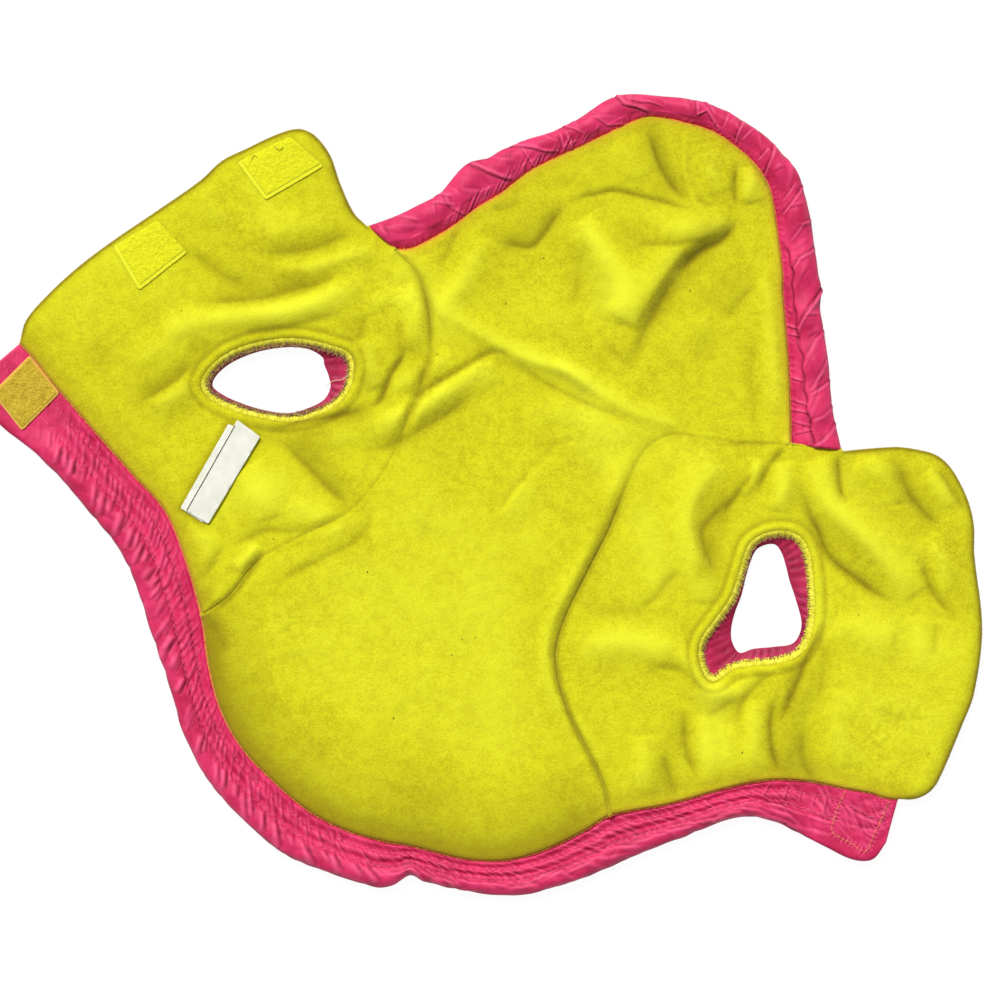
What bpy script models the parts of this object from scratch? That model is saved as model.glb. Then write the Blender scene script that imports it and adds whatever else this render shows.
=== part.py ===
"""A small dog's puffer coat, opened out and laid on a surface with its fleece side up.

A back panel runs from the neck to the tail. A chest panel with a leg hole is sewn to each side of it.
Every panel is a padded nylon shell with a fleece lining on it. A padded collar is sewn along the neckline
and a gathered padded hem round the tail, and the coat closes with hook and loop patches.

X runs to the right and Y up the photographed view, so the neck is at -Y and the tail at +Y.
Z is up, the surface is at Z = 0, and the origin is under the middle of the coat.
Sizes are millimetres until an object is made. Left and right are as seen from above.
"""

import math
from collections import namedtuple

import bmesh
import bpy
import numpy as np
from mathutils import Vector
from mathutils.geometry import delaunay_2d_cdt

MM = 0.001

# Cloth
SEAM_GAP = 0.36       # between two pieces that are sewn edge to edge
LAYER_GAP = 0.3       # between two layers that lie on each other
PAD = 5.4             # shell with its wadding, away from a seam
PAD_AT_SEAM = 2.2     # the same where a seam pulls it flat
PAD_AT_LEAST = 1.8    # in the bottom of a deep crease
FLEECE = 1.8          # lining
PATCH = 1.5           # hook or loop tape
LABEL = 1.0           # folded woven label
CUFF = 1.4            # leg cuff's wall
COLLAR_END = 4.0      # collar pressed flat under its tape
FOLD_STAYS = 1.5      # height of a fold that the wadding fills before the shell lifts off the surface
FOLD_LIFTS = 0.85     # share of the rest by which the shell lifts

# Mesh
EDGE_STEP = 10.0      # along a seam or an edge
RING = 2.6            # row of points just inside an edge, which rounds it
GRID = 17.0           # across a plain stretch of a panel
CLOSEST = 4.6         # no free point lies nearer than this to another
BEND_STEPS = 6        # straight runs in one fold
CREST_STEP = 9.0      # along the crest of a fold

Section = namedtuple("Section", "seam_x seam_y edge_x edge_y")
Fold = namedtuple("Fold", "x0 y0 x1 y1 x2 y2 height left right")
Patch = namedtuple("Patch", "name corners")

# Collar: from the neckline seam out to its free edge, left end first
COLLAR = [
    Section(-231, 76, -244, 65),
    Section(-227, 72, -249.8, 56),
    Section(-222, 66, -248, 47),
    Section(-216, 58, -242, 36),
    Section(-208, 49, -231, 27),
    Section(-196, 35, -218, 16),
    Section(-174, 10, -196, -9),
    Section(-158, -8, -183, -25),
    Section(-148, -32, -174, -42),
    Section(-140, -60, -167, -64),
    Section(-136, -87, -157, -93),
    Section(-130, -108, -150, -117),
    Section(-120, -126, -139, -140),
    Section(-105, -142, -122, -160),
    Section(-86, -158, -100, -179),
    Section(-66, -168, -74, -190),
    Section(-48, -173, -53, -196),
    Section(-42, -174, -44, -195),
    Section(-36, -175, -36, -190),
    Section(-28, -177, -29, -193),
    Section(-6, -182, -8, -198),
    Section(14, -182, 17, -200),
    Section(34, -176, 41, -195),
    Section(52, -167, 62, -187),
    Section(64, -160, 71, -183),
    Section(94, -154, 98, -172),
    Section(127, -145, 130, -161),
    Section(146, -142, 148, -164),
    Section(164, -143, 160, -170),
    Section(184, -147, 178, -179),
    Section(195, -149, 189, -183),
    Section(201, -151, 196, -182),
    Section(208, -152, 202, -174),
]
COLLAR_AT_LEFT_SEAM = 9      # rows of COLLAR where the chest seams meet the neckline
COLLAR_AT_RIGHT_SEAM = 24

# Hem: from the seam round the tail out to its free edge, left end first
HEM = [
    Section(-43, 122, -57, 134),
    Section(-35, 123, -47, 138),
    Section(-26, 127, -34, 144),
    Section(-16, 133, -21, 151),
    Section(-1, 144, -8, 165),
    Section(9, 150, 4, 169),
    Section(23, 161, 16, 175),
    Section(39, 169, 33, 181),
    Section(54, 176, 46, 187),
    Section(75, 186, 67, 199),
    Section(84, 189, 84, 200),
    Section(104, 185, 109, 197),
    Section(116, 181, 122, 192),
    Section(128, 173, 135, 184),
    Section(138, 163, 148, 173),
    Section(144, 152, 158, 160),
    Section(147, 135, 164, 140),
    Section(150, 110, 168, 111),
    Section(150, 102, 170, 103),
    Section(151, 90, 169, 91),
    Section(153, 65, 173, 68),
    Section(154, 38, 176, 39),
    Section(154, 25, 180, 22),
]

# Leg cuffs: from the leg hole in the panel to the rim of the cuff, clockwise from the left
LEFT_CUFF = [
    Section(-139, 55, -135, 55),
    Section(-135, 63, -132, 61),
    Section(-126, 70, -124, 67),
    Section(-112, 75, -111, 72),
    Section(-97, 77, -97, 74),
    Section(-85, 76, -87, 73),
    Section(-74, 73, -80, 69),
    Section(-67, 70, -79, 65),
    Section(-65, 64, -77, 60),
    Section(-67, 54, -76, 54),
    Section(-73, 46, -79, 48),
    Section(-83, 41, -86, 44),
    Section(-97, 38, -97, 41),
    Section(-112, 40, -111, 43),
    Section(-125, 44, -123, 47),
    Section(-135, 49, -131, 51),
]
RIGHT_CUFF = [
    Section(134, -26, 137, -28),
    Section(140, -21, 142, -25),
    Section(149, -19, 147, -25),
    Section(157, -21, 150, -29),
    Section(162, -28, 152, -35),
    Section(164, -39, 154, -43),
    Section(165, -52, 157, -52),
    Section(164, -66, 160, -65),
    Section(159, -78, 156, -74),
    Section(147, -83, 146, -76),
    Section(135, -84, 136, -77),
    Section(125, -86, 130, -79),
    Section(115, -92, 127, -77),
    Section(110, -84, 125, -72),
    Section(110, -74, 125, -66),
    Section(118, -62, 127, -58),
    Section(125, -52, 130, -50),
    Section(130, -38, 133, -38),
]

# Seams between the back and the chest panels, from the neckline to the hem
LEFT_SEAM = [(-140, -60), (-126, -50), (-112, -33), (-91, -21), (-66, -8), (-47, 15),
             (-35, 43), (-26, 70), (-26, 90), (-31, 108), (-43, 122)]
RIGHT_SEAM = [(64, -160), (60, -143), (44, -110), (37, -82), (41, -63), (53, -38),
              (64, -16), (72, 4), (82, 23), (95, 30), (112, 28), (129, 26), (154, 25)]

# Free edges of the chest flaps, from the collar to the outer end of the hem
LEFT_FLAP = [(-231, 76), (-228, 87), (-218, 99), (-203, 113), (-186, 126), (-161, 143),
             (-141, 157), (-130, 167), (-118, 173), (-103, 180), (-92, 183), (-84, 180),
             (-76, 170), (-71, 156), (-64, 141), (-57, 134)]
RIGHT_FLAP = [(208, -152), (216, -152), (223, -149), (228, -143), (240, -115), (246, -99),
              (250, -67), (246, -29), (246, -17), (244, -6), (240, 4), (234, 14),
              (227, 20), (216, 23), (206, 24), (180, 22)]

# Tape sewn on the fleece of the left flap, and the label
LEFT_INLAYS = [
    Patch("flap_loop_neck", [(-184, 124), (-162, 137), (-147, 121), (-171, 102)]),
    Patch("flap_loop_belly", [(-122, 166), (-96, 179), (-79, 164), (-108, 147)]),
    Patch("care_label", [(-122, 38), (-110, 30), (-136, -14), (-150, -7)]),
]
# Tape sewn on the outside of the right flap, which lies underneath
RIGHT_HOOKS = [
    Patch("flap_hook_belly", [(211, 12), (229, 16), (241, -9), (222, -17)]),
    Patch("flap_hook_neck", [(220, -58), (245, -57), (243, -88), (222, -91)]),
]
COLLAR_LOOP = Patch("collar_loop", [(-226, 70), (-211, 51), (-230, 32), (-245, 51)])
COLLAR_HOOK = Patch("collar_hook", [(181, -151), (200, -154), (192, -177), (176, -170)])
CORNER = 2.5          # rounding of a tape's corners
LABEL_CORNER = 0.6
HOOK_ROOM = 1.2       # flat margin round a tape on the underside

# The largest folds: start, middle and end of the crest, height, and the reach to its left and right.
# A negative height is a crease.
FOLDS = [
    # tail
    Fold(124, 146, 104, 124, 74, 84, 9.0, 5.0, 15.0),
    Fold(28, 118, 52, 142, 100, 140, 5.5, 5.0, 13.0),
    Fold(82, 186, 86, 166, 98, 147, -3.0, 5.0, 5.0),
    Fold(134, 168, 134, 150, 129, 134, 3.5, 7.0, 5.0),
    Fold(80, 130, 65, 105, 53, 72, 5.0, 14.0, 12.0),
    Fold(51, 126, 46, 103, 43, 82, -2.5, 7.0, 7.0),
    Fold(-24, 93, 20, 72, 110, 33, 5.5, 9.0, 6.0),
    Fold(-1, 130, -10, 113, -20, 98, 3.0, 7.0, 6.0),
    Fold(140, 122, 142, 83, 139, 42, 3.0, 8.0, 9.0),
    Fold(54, 76, 70, 61, 88, 48, -2.0, 8.0, 8.0),
    # neck
    Fold(-40, 57, -18, 67, 4, 80, 4.5, 10.0, 5.0),
    Fold(32, 29, 49, 22, 70, 12, -2.0, 8.0, 8.0),
    Fold(-96, -96, -40, -120, 20, -112, 1.4, 34.0, 34.0),
    # left chest
    Fold(-160, 74, -116, 90, -66, 99, 5.0, 9.0, 8.0),
    Fold(-148, 113, -116, 102, -56, 115, -3.0, 6.0, 6.0),
    Fold(-118, 111, -86, 112, -46, 118, 2.5, 6.0, 5.0),
    Fold(-178, 41, -158, 48, -141, 50, 3.0, 6.0, 7.0),
    Fold(-182, 28, -158, 35, -138, 41, -3.0, 6.0, 6.0),
    Fold(-106, 32, -76, 35, -49, 46, -3.0, 6.0, 5.0),
    Fold(-61, 76, -56, 63, -51, 49, 3.5, 6.0, 5.0),
    Fold(-36, 104, -33, 84, -38, 62, 3.5, 6.0, 8.0),
    Fold(-107, 28, -91, 10, -68, -4, -2.5, 9.0, 9.0),
    Fold(-124, 26, -115, 4, -104, -20, 3.5, 11.0, 9.0),
    # right chest
    Fold(160, 12, 165, -12, 174, -29, -4.0, 6.0, 6.0),
    Fold(174, -29, 190, -41, 212, -54, -3.5, 6.0, 6.0),
    Fold(168, 12, 178, -12, 200, -30, 5.5, 8.0, 6.0),
    Fold(182, 4, 205, -14, 227, -40, 4.0, 8.0, 7.0),
    Fold(168, -50, 186, -60, 206, -76, 3.5, 9.0, 10.0),
    Fold(216, -32, 229, -50, 240, -60, -3.0, 5.0, 5.0),
    Fold(149, 20, 140, 9, 126, -8, -3.0, 5.0, 5.0),
    Fold(159, 20, 151, 4, 145, -12, 4.0, 6.0, 5.0),
    Fold(118, 14, 108, -4, 104, -24, 4.0, 8.0, 7.0),
    Fold(52, -66, 74, -54, 100, -50, 3.5, 14.0, 14.0),
    Fold(87, -150, 85, -136, 79, -118, 4.0, 6.0, 6.0),
    Fold(95, -149, 98, -132, 102, -112, -2.5, 5.0, 5.0),
    Fold(134, -143, 134, -127, 130, -108, 4.5, 7.0, 6.0),
    Fold(160, -84, 155, -102, 148, -122, -3.5, 5.0, 5.0),
]

# Reach over which a panel rounds down to each kind of edge
ROUND = {"neckline": 20.0, "seam": 7.0, "hem": 9.0, "edge": 9.0, "hole": 8.0}
FOLD_FADE = 5.0       # folds die out this close to an edge

# Profiles of the sewn-on bands: share of the width from the seam outwards, and height
COLLAR_PUFFED = [(0.00, 3.6), (0.09, 5.0), (0.20, 3.8), (0.34, 5.6), (0.48, 4.2), (0.62, 6.8),
                 (0.78, 7.8), (0.92, 6.4), (1.00, 3.4), (0.94, 0.6), (0.86, 0.0), (0.00, 0.0)]
COLLAR_FLAT = [(0.00, 3.4), (0.05, 4.0), (0.20, 4.0), (0.34, 4.0), (0.48, 4.0), (0.62, 4.0),
               (0.78, 4.0), (0.95, 4.0), (1.00, 2.8), (0.97, 0.5), (0.92, 0.0), (0.00, 0.0)]
HEM_PUFFED = [(0.00, 4.0), (0.12, 5.4), (0.28, 4.4), (0.44, 7.6), (0.64, 9.4), (0.84, 8.2),
              (1.00, 4.8), (0.95, 1.4), (0.84, 0.0), (0.00, 0.0)]
CUFF_PROFILE = [(0.00, 3.6), (0.40, 3.0), (1.00, CUFF), (1.00, 0.0), (0.40, 3.0 - CUFF), (0.00, 3.6 - CUFF)]
COLLAR_BOTTOM = 3     # last points of a collar profile, which rest on the surface
FLAT_END = 38.0       # the collar is flat for this far from each end
PUFF_IN = 22.0        # and then puffs up over this length
HEM_LUMP = 24.0       # length of one gather of the hem
HEM_LUMP_HEIGHT = 0.11


# ---------------------------------------------------------------- curves in plan

def smooth(t):
    """0 to 1 with level ends."""
    t = np.clip(t, 0.0, 1.0)
    return t * t * (3.0 - 2.0 * t)


def curve_through(rows, step, closed=False):
    """Points on a smooth curve through the rows, and the place of each row among them."""
    rows = np.array(rows, float)
    count = len(rows)
    spans = count if closed else count - 1
    points, places = [], []
    for i in range(spans):
        before = rows[(i - 1) % count] if closed or i > 0 else 2 * rows[0] - rows[1]
        start, end = rows[i], rows[(i + 1) % count]
        after = rows[(i + 2) % count] if closed or i + 2 < count else 2 * rows[-1] - rows[-2]
        chord = np.linalg.norm(end[:2] - start[:2])
        runs = max(1, round(chord / step))
        reach_in = chord / max(chord + np.linalg.norm(start[:2] - before[:2]), 1e-6)
        reach_out = chord / max(chord + np.linalg.norm(after[:2] - end[:2]), 1e-6)
        slope_in = (end - before) * reach_in
        slope_out = (after - start) * reach_out
        places.append(len(points))
        for k in range(runs):
            t = k / runs
            points.append((2 * t**3 - 3 * t**2 + 1) * start + (t**3 - 2 * t**2 + t) * slope_in
                          + (3 * t**2 - 2 * t**3) * end + (t**3 - t**2) * slope_out)
    if not closed:
        places.append(len(points))
        points.append(rows[-1])
    return np.array(points), places


def area_of(loop):
    x, y = loop[:, 0], loop[:, 1]
    return 0.5 * float(np.sum(x * np.roll(y, -1) - np.roll(x, -1) * y))


def moved_in(loop, distance):
    """A closed loop moved towards its left-hand side: inwards if it runs anticlockwise."""
    ahead = np.roll(loop, -1, axis=0) - loop
    ahead /= np.linalg.norm(ahead, axis=1)[:, None]
    left = np.stack([-ahead[:, 1], ahead[:, 0]], axis=1)
    corner = left + np.roll(left, 1, axis=0)
    corner /= np.maximum(np.sum(corner * left, axis=1), 0.5)[:, None]
    return loop + corner * distance


def rounded(corners, radius, steps=2):
    """A closed polygon with its corners rounded, as points that run anticlockwise."""
    corners = np.array(corners, float)
    points = []
    for before, corner, after in zip(np.roll(corners, 1, axis=0), corners, np.roll(corners, -1, axis=0)):
        start = corner + (before - corner) * radius / np.linalg.norm(before - corner)
        end = corner + (after - corner) * radius / np.linalg.norm(after - corner)
        for t in np.linspace(0.0, 1.0, steps + 1):
            points.append((1 - t) ** 2 * start + 2 * t * (1 - t) * corner + t * t * end)
    loop = np.array(points)
    return loop if area_of(loop) > 0 else loop[::-1]


def split_long(loop, step):
    """A closed loop with points added so that no side is longer than step."""
    points = []
    for start, end in zip(loop, np.roll(loop, -1, axis=0)):
        runs = max(1, math.ceil(np.linalg.norm(end - start) / step))
        points += [start + (end - start) * k / runs for k in range(runs)]
    return np.array(points)


def distance_to(points, path, closed=False):
    """Distance from each point to a path of straight runs."""
    ends = np.roll(path, -1, axis=0) if closed else path[1:]
    nearest = np.full(len(points), np.inf)
    for start, end in zip(path, ends):
        run = end - start
        t = np.clip(((points - start) @ run) / max(float(run @ run), 1e-9), 0.0, 1.0)
        nearest = np.minimum(nearest, np.linalg.norm(points - start - t[:, None] * run, axis=1))
    return nearest


def inside(points, loop):
    """Whether each point is inside a closed loop."""
    x, y = points[:, 0], points[:, 1]
    result = np.zeros(len(points), bool)
    for (x0, y0), (x1, y1) in zip(loop, np.roll(loop, -1, axis=0)):
        if y0 != y1:
            result ^= ((y0 > y) != (y1 > y)) & (x < (x1 - x0) * (y - y0) / (y1 - y0) + x0)
    return result


def crest_of(fold):
    """The bent line that a fold's crest follows."""
    t = np.linspace(0.0, 1.0, BEND_STEPS + 1)[:, None]
    start, middle, end = np.array(fold[0:2]), np.array(fold[2:4]), np.array(fold[4:6])
    control = 2 * middle - (start + end) / 2
    return (1 - t) ** 2 * start + 2 * t * (1 - t) * control + t**2 * end


# ---------------------------------------------------------------- heights

def fold_height(points, folds):
    """Height that the folds give to each point of the plan."""
    total = np.zeros(len(points))
    for fold in folds:
        path = crest_of(fold)
        lengths = np.linalg.norm(np.diff(path, axis=0), axis=1)
        before = np.concatenate([[0.0], np.cumsum(lengths)])
        nearest = np.full(len(points), np.inf)
        along = np.zeros(len(points))
        on_left = np.zeros(len(points), bool)
        for i, length in enumerate(lengths):
            run = path[i + 1] - path[i]
            away = points - path[i]
            t = np.clip((away @ run) / length**2, 0.0, 1.0)
            distance = np.linalg.norm(away - t[:, None] * run, axis=1)
            closer = distance < nearest
            nearest = np.where(closer, distance, nearest)
            along = np.where(closer, (before[i] + t * length) / before[-1], along)
            on_left = np.where(closer, run[0] * away[:, 1] - run[1] * away[:, 0] > 0, on_left)
        reach = np.where(on_left, fold.left, fold.right)
        taper = np.clip(4 * along * (1 - along), 0.0, 1.0) ** 0.6
        total += fold.height * taper * np.exp(-((nearest / reach) ** 2))
    return total


def edge_share(points, stretches):
    """0 at a panel's edge, rising in a quarter round to 1 inside, and the distance to the nearest edge."""
    share = np.ones(len(points))
    nearest = np.full(len(points), np.inf)
    for kind, path, closed in stretches:
        distance = distance_to(points, path, closed)
        t = 1.0 - np.clip(distance / ROUND[kind], 0.0, 1.0)
        share = np.minimum(share, np.sqrt(np.clip(1.0 - t * t, 0.0, 1.0)))
        nearest = np.minimum(nearest, distance)
    return share, nearest


def shell_heights(points, stretches, recesses):
    """Underside and top of the padded shell at each point of a panel."""
    share, nearest = edge_share(points, stretches)
    folds = fold_height(points, FOLDS) * smooth(nearest / FOLD_FADE)
    lift = np.maximum(folds - FOLD_STAYS, 0.0) * FOLD_LIFTS
    pad = PAD_AT_SEAM + (PAD - PAD_AT_SEAM) * share + np.minimum(folds, folds - lift)
    low, high = lift, lift + np.maximum(pad, PAD_AT_LEAST)
    for loop in recesses:
        over = inside(points, loop) | (distance_to(points, loop, True) < 0.05)
        low = np.where(over, PATCH + LAYER_GAP, low)
        high = np.maximum(high, low + PAD_AT_LEAST)
    return low, high


# ---------------------------------------------------------------- panels

class Plan:
    """A panel's outline in plan, filled with triangles that every layer of the panel shares."""

    def __init__(self, stretches, hole=None, inlays=(), recesses=()):
        outline = np.concatenate([path[:-1] for _, path in stretches])
        self.outline = moved_in(outline, SEAM_GAP / 2)
        self.edges = [(kind, path, False) for kind, path in stretches]
        self.hole = None
        if hole is not None:
            loop = hole if area_of(hole) > 0 else hole[::-1]
            self.hole = moved_in(loop, -SEAM_GAP / 2)
            self.edges.append(("hole", loop, True))
        self.inlays = {name: split_long(loop, EDGE_STEP) for name, loop in inlays}
        self.recesses = [split_long(loop, EDGE_STEP) for loop in recesses]
        self.fill()

    def fill(self):
        loops = [self.outline] + ([self.hole] if self.hole is not None else [])
        loops += list(self.inlays.values()) + self.recesses
        points = list(np.concatenate(loops))
        edges, first = [], 0
        for loop in loops:
            edges += [(first + k, first + (k + 1) % len(loop)) for k in range(len(loop))]
            first += len(loop)
        rings = [moved_in(self.outline, RING)]
        if self.hole is not None:
            rings.append(moved_in(self.hole, -RING))
        self.add(points, np.concatenate(rings), loops, RING * 0.8, RING * 0.7)
        self.add(points, self.fold_points(), loops, CLOSEST, CLOSEST * 0.8)
        self.add(points, self.grid_points(), loops, GRID * 0.62, GRID * 0.4)
        coords, _, faces, *_ = delaunay_2d_cdt([Vector(p) for p in points], edges, [], 0, 1e-6)
        self.points = np.array([tuple(c) for c in coords])
        middles = np.array([self.points[list(f)].mean(axis=0) for f in faces])
        keep = inside(middles, self.outline)
        if self.hole is not None:
            keep &= ~inside(middles, self.hole)
        self.faces = [tuple(f) for f, k in zip(faces, keep) if k]
        self.middles = middles[keep]

    def add(self, points, more, loops, from_points, from_edges):
        """Adds the points that lie inside the panel and clear of its edges and of each other."""
        fine = inside(more, self.outline)
        for loop in loops:
            fine &= distance_to(more, loop, True) > from_edges
        if self.hole is not None:
            fine &= ~inside(more, self.hole)
        for point in more[fine]:
            if np.min(np.linalg.norm(np.array(points) - point, axis=1)) > from_points:
                points.append(point)

    def fold_points(self):
        """Rows of points along each fold: on its crest and at its foot on each side."""
        rows = []
        for fold in FOLDS:
            path = crest_of(fold)
            length = float(np.sum(np.linalg.norm(np.diff(path, axis=0), axis=1)))
            steps = np.linspace(0.05, 0.95, max(3, round(length / CREST_STEP)))
            place = steps * BEND_STEPS
            crest = np.stack([np.interp(place, range(BEND_STEPS + 1), path[:, k]) for k in (0, 1)], axis=1)
            way = np.gradient(crest, axis=0)
            left = np.stack([-way[:, 1], way[:, 0]], axis=1) / np.linalg.norm(way, axis=1)[:, None]
            rows += [crest, crest + left * fold.left * 1.25, crest - left * fold.right * 1.25]
        return np.concatenate(rows)

    def grid_points(self):
        low, high = self.outline.min(axis=0), self.outline.max(axis=0)
        rows = []
        for j, y in enumerate(np.arange(low[1], high[1], GRID * math.sqrt(3) / 2)):
            x = np.arange(low[0] + (j % 2) * GRID / 2, high[0], GRID)
            rows.append(np.stack([x, np.full(len(x), y)], axis=1))
        return np.concatenate(rows)

    def faces_in(self, loop):
        return [f for f, k in zip(self.faces, inside(self.middles, loop)) if k]


def solid_between(name, plan, faces, low, high, material):
    """A closed wall between two height fields over the same triangles."""
    used = sorted({v for face in faces for v in face})
    place = {v: i for i, v in enumerate(used)}
    mesh = bmesh.new()
    under = [mesh.verts.new((*plan.points[v] * MM, low[v] * MM)) for v in used]
    over = [mesh.verts.new((*plan.points[v] * MM, high[v] * MM)) for v in used]
    sides = {}
    for face in faces:
        a, b, c = (place[v] for v in face)
        mesh.faces.new((over[a], over[b], over[c]))
        mesh.faces.new((under[c], under[b], under[a]))
        for edge in ((a, b), (b, c), (c, a)):
            sides[edge] = True
    for a, b in sides:
        if (b, a) not in sides:
            mesh.faces.new((under[a], under[b], over[b], over[a]))
    return new_object(name, mesh, material)


def new_object(name, mesh, material):
    data = bpy.data.meshes.new(name)
    mesh.to_mesh(data)
    mesh.free()
    data.shade_smooth()
    data.set_sharp_from_angle(angle=math.radians(50))
    made = bpy.data.objects.new(name, data)
    made.data.materials.append(material)
    coat.objects.link(made)
    return made


def make_panel(side, plan, shell, lining):
    """The padded shell and the fleece on it."""
    low, high = shell_heights(plan.points, plan.edges, plan.recesses)
    solid_between(f"{side}_shell", plan, plan.faces, low, high, shell)
    fleece_low = high + LAYER_GAP
    solid_between(f"{side}_lining", plan, plan.faces, fleece_low, fleece_low + FLEECE, lining)
    return fleece_low + FLEECE


def make_inlays(plan, top, thickness, materials):
    """Tape and label, made from the points of the fleece under them, moved out."""
    for name, loop in plan.inlays.items():
        low = top + LAYER_GAP
        solid_between(name, plan, plan.faces_in(loop), low, low + thickness[name], materials[name])


# ---------------------------------------------------------------- sewn-on bands

def make_band(name, sections, profiles, material, closed=False):
    """A band lofted through its sections. Each section has its own profile of width shares and heights."""
    mesh = bmesh.new()
    rings = []
    for section, profile in zip(sections, profiles):
        seam, edge = section[:2], section[2:]
        rings.append([mesh.verts.new((*(seam + (edge - seam) * share) * MM, height * MM))
                      for share, height in profile])
    count = len(rings)
    for i in range(count if closed else count - 1):
        here, there = rings[i], rings[(i + 1) % count]
        for k in range(len(here)):
            n = (k + 1) % len(here)
            mesh.faces.new((here[k], here[n], there[n], there[k]))
    if not closed:
        mesh.faces.new(rings[0][::-1])
        mesh.faces.new(rings[-1])
    bmesh.ops.recalc_face_normals(mesh, faces=mesh.faces)
    return new_object(name, mesh, material)


def clear_of_seam(sections, gap):
    """Sections with their seam side drawn back from the seam by the gap."""
    drawn = sections.copy()
    way = sections[:, 2:] - sections[:, :2]
    drawn[:, :2] += way / np.linalg.norm(way, axis=1)[:, None] * gap
    return drawn


def drawn_in(sections, gap):
    """Sections with both ends of the band drawn back along it by the gap."""
    drawn = sections.copy()
    for end, inner in ((0, 1), (-1, -2)):
        way = sections[inner] - sections[end]
        drawn[end] += way * gap / np.linalg.norm(way[:2])
    return drawn


def along(sections):
    """Distance of each section from the start, half way across the band."""
    middle = (sections[:, :2] + sections[:, 2:]) / 2
    return np.concatenate([[0.0], np.cumsum(np.linalg.norm(np.diff(middle, axis=0), axis=1))])


def make_collar(material):
    sections = clear_of_seam(collar_sections, SEAM_GAP / 2)
    place = along(sections)
    from_end = np.minimum(place, place[-1] - place)
    puff = smooth((from_end - FLAT_END) / PUFF_IN)
    hook_from = place[-1] - FLAT_END
    profiles = []
    for share, at in zip(puff, place):
        raised = PATCH + LAYER_GAP if at > hook_from else 0.0
        profile = [((1 - share) * f[0] + share * p[0], (1 - share) * f[1] + share * p[1])
                   for f, p in zip(COLLAR_FLAT, COLLAR_PUFFED)]
        top = [(t, z + raised * 0.6) for t, z in profile[:-COLLAR_BOTTOM]]
        profiles.append(top + [(t, z + raised) for t, z in profile[-COLLAR_BOTTOM:]])
    make_band("collar", sections, profiles, material)


def make_hem(material):
    sections = drawn_in(clear_of_seam(hem_sections, SEAM_GAP / 2), SEAM_GAP)
    place = along(sections)
    profiles = []
    for at in place:
        lump = 1.0 + HEM_LUMP_HEIGHT * math.sin(at / HEM_LUMP * 2 * math.pi + 1.7 * math.sin(at / 61.0))
        profiles.append([(t, z * (lump if t > 0.3 else 1.0)) for t, z in HEM_PUFFED])
    make_band("tail_hem", sections, profiles, material)


def make_cuff(name, sections, material):
    ring = clear_of_seam(sections, SEAM_GAP)
    make_band(name, ring, [CUFF_PROFILE] * len(ring), material, closed=True)


def make_plate(patch, floor, thickness, material):
    """A flat rounded piece of tape."""
    curve = bpy.data.curves.new(patch.name, "CURVE")
    curve.dimensions = "2D"
    curve.fill_mode = "BOTH"
    curve.extrude = thickness / 2 * MM
    loop = rounded(patch.corners, CORNER)
    spline = curve.splines.new("POLY")
    spline.points.add(len(loop) - 1)
    for point, (x, y) in zip(spline.points, loop):
        point.co = (x * MM, y * MM, 0.0, 1.0)
    spline.use_cyclic_u = True
    made = bpy.data.objects.new(patch.name, curve)
    made.location.z = (floor + thickness / 2) * MM
    made.data.materials.append(material)
    coat.objects.link(made)
    return made


# ---------------------------------------------------------------- materials and assembly

def new_material(name, colour, roughness):
    material = bpy.data.materials.new(name)
    material.use_nodes = True
    surface = material.node_tree.nodes["Principled BSDF"]
    surface.inputs["Base Color"].default_value = (*colour, 1.0)
    surface.inputs["Roughness"].default_value = roughness
    surface.inputs["Metallic"].default_value = 0.0
    return material


for old in list(bpy.data.objects):
    bpy.data.objects.remove(old, do_unlink=True)
coat = bpy.data.collections.new("dog puffer coat")
bpy.context.scene.collection.children.link(coat)

nylon = new_material("pink nylon", (0.83, 0.04, 0.18), 0.35)
fleece = new_material("yellow fleece", (0.76, 0.75, 0.01), 0.95)
loop_tape = new_material("yellow loop tape", (0.86, 0.84, 0.02), 0.9)
gold_tape = new_material("gold loop tape", (0.62, 0.46, 0.03), 0.9)
hook_tape = new_material("yellow hook tape", (0.80, 0.74, 0.05), 0.6)
satin = new_material("white label", (0.80, 0.80, 0.74), 0.5)

collar_sections, collar_rows = curve_through(COLLAR, EDGE_STEP)
hem_sections, _ = curve_through(HEM, EDGE_STEP)
left_ring, _ = curve_through(LEFT_CUFF, EDGE_STEP, closed=True)
right_ring, _ = curve_through(RIGHT_CUFF, EDGE_STEP, closed=True)
left_seam, _ = curve_through(LEFT_SEAM, EDGE_STEP)
right_seam, _ = curve_through(RIGHT_SEAM, EDGE_STEP)
left_flap, _ = curve_through(LEFT_FLAP, EDGE_STEP)
right_flap, _ = curve_through(RIGHT_FLAP, EDGE_STEP)

neckline = collar_sections[:, :2]
hem_seam = hem_sections[:, :2]
at_left, at_right = collar_rows[COLLAR_AT_LEFT_SEAM], collar_rows[COLLAR_AT_RIGHT_SEAM]
left_hem_end = np.array([hem_seam[0], hem_sections[0, 2:]])
right_hem_end = np.array([hem_sections[-1, 2:], hem_seam[-1]])

left_plan = Plan(
    [("neckline", neckline[: at_left + 1]), ("seam", left_seam), ("seam", left_hem_end), ("edge", left_flap[::-1])],
    hole=left_ring[:, :2],
    inlays=[(p.name, rounded(p.corners, LABEL_CORNER if p.name == "care_label" else CORNER)) for p in LEFT_INLAYS],
)
right_plan = Plan(
    [("neckline", neckline[at_right:]), ("edge", right_flap), ("seam", right_hem_end), ("seam", right_seam[::-1])],
    hole=right_ring[:, :2],
    recesses=[moved_in(rounded(p.corners, CORNER), -HOOK_ROOM) for p in RIGHT_HOOKS],
)
back_plan = Plan(
    [("neckline", neckline[at_left: at_right + 1]), ("seam", right_seam), ("hem", hem_seam[::-1]),
     ("seam", left_seam[::-1])],
)

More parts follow.
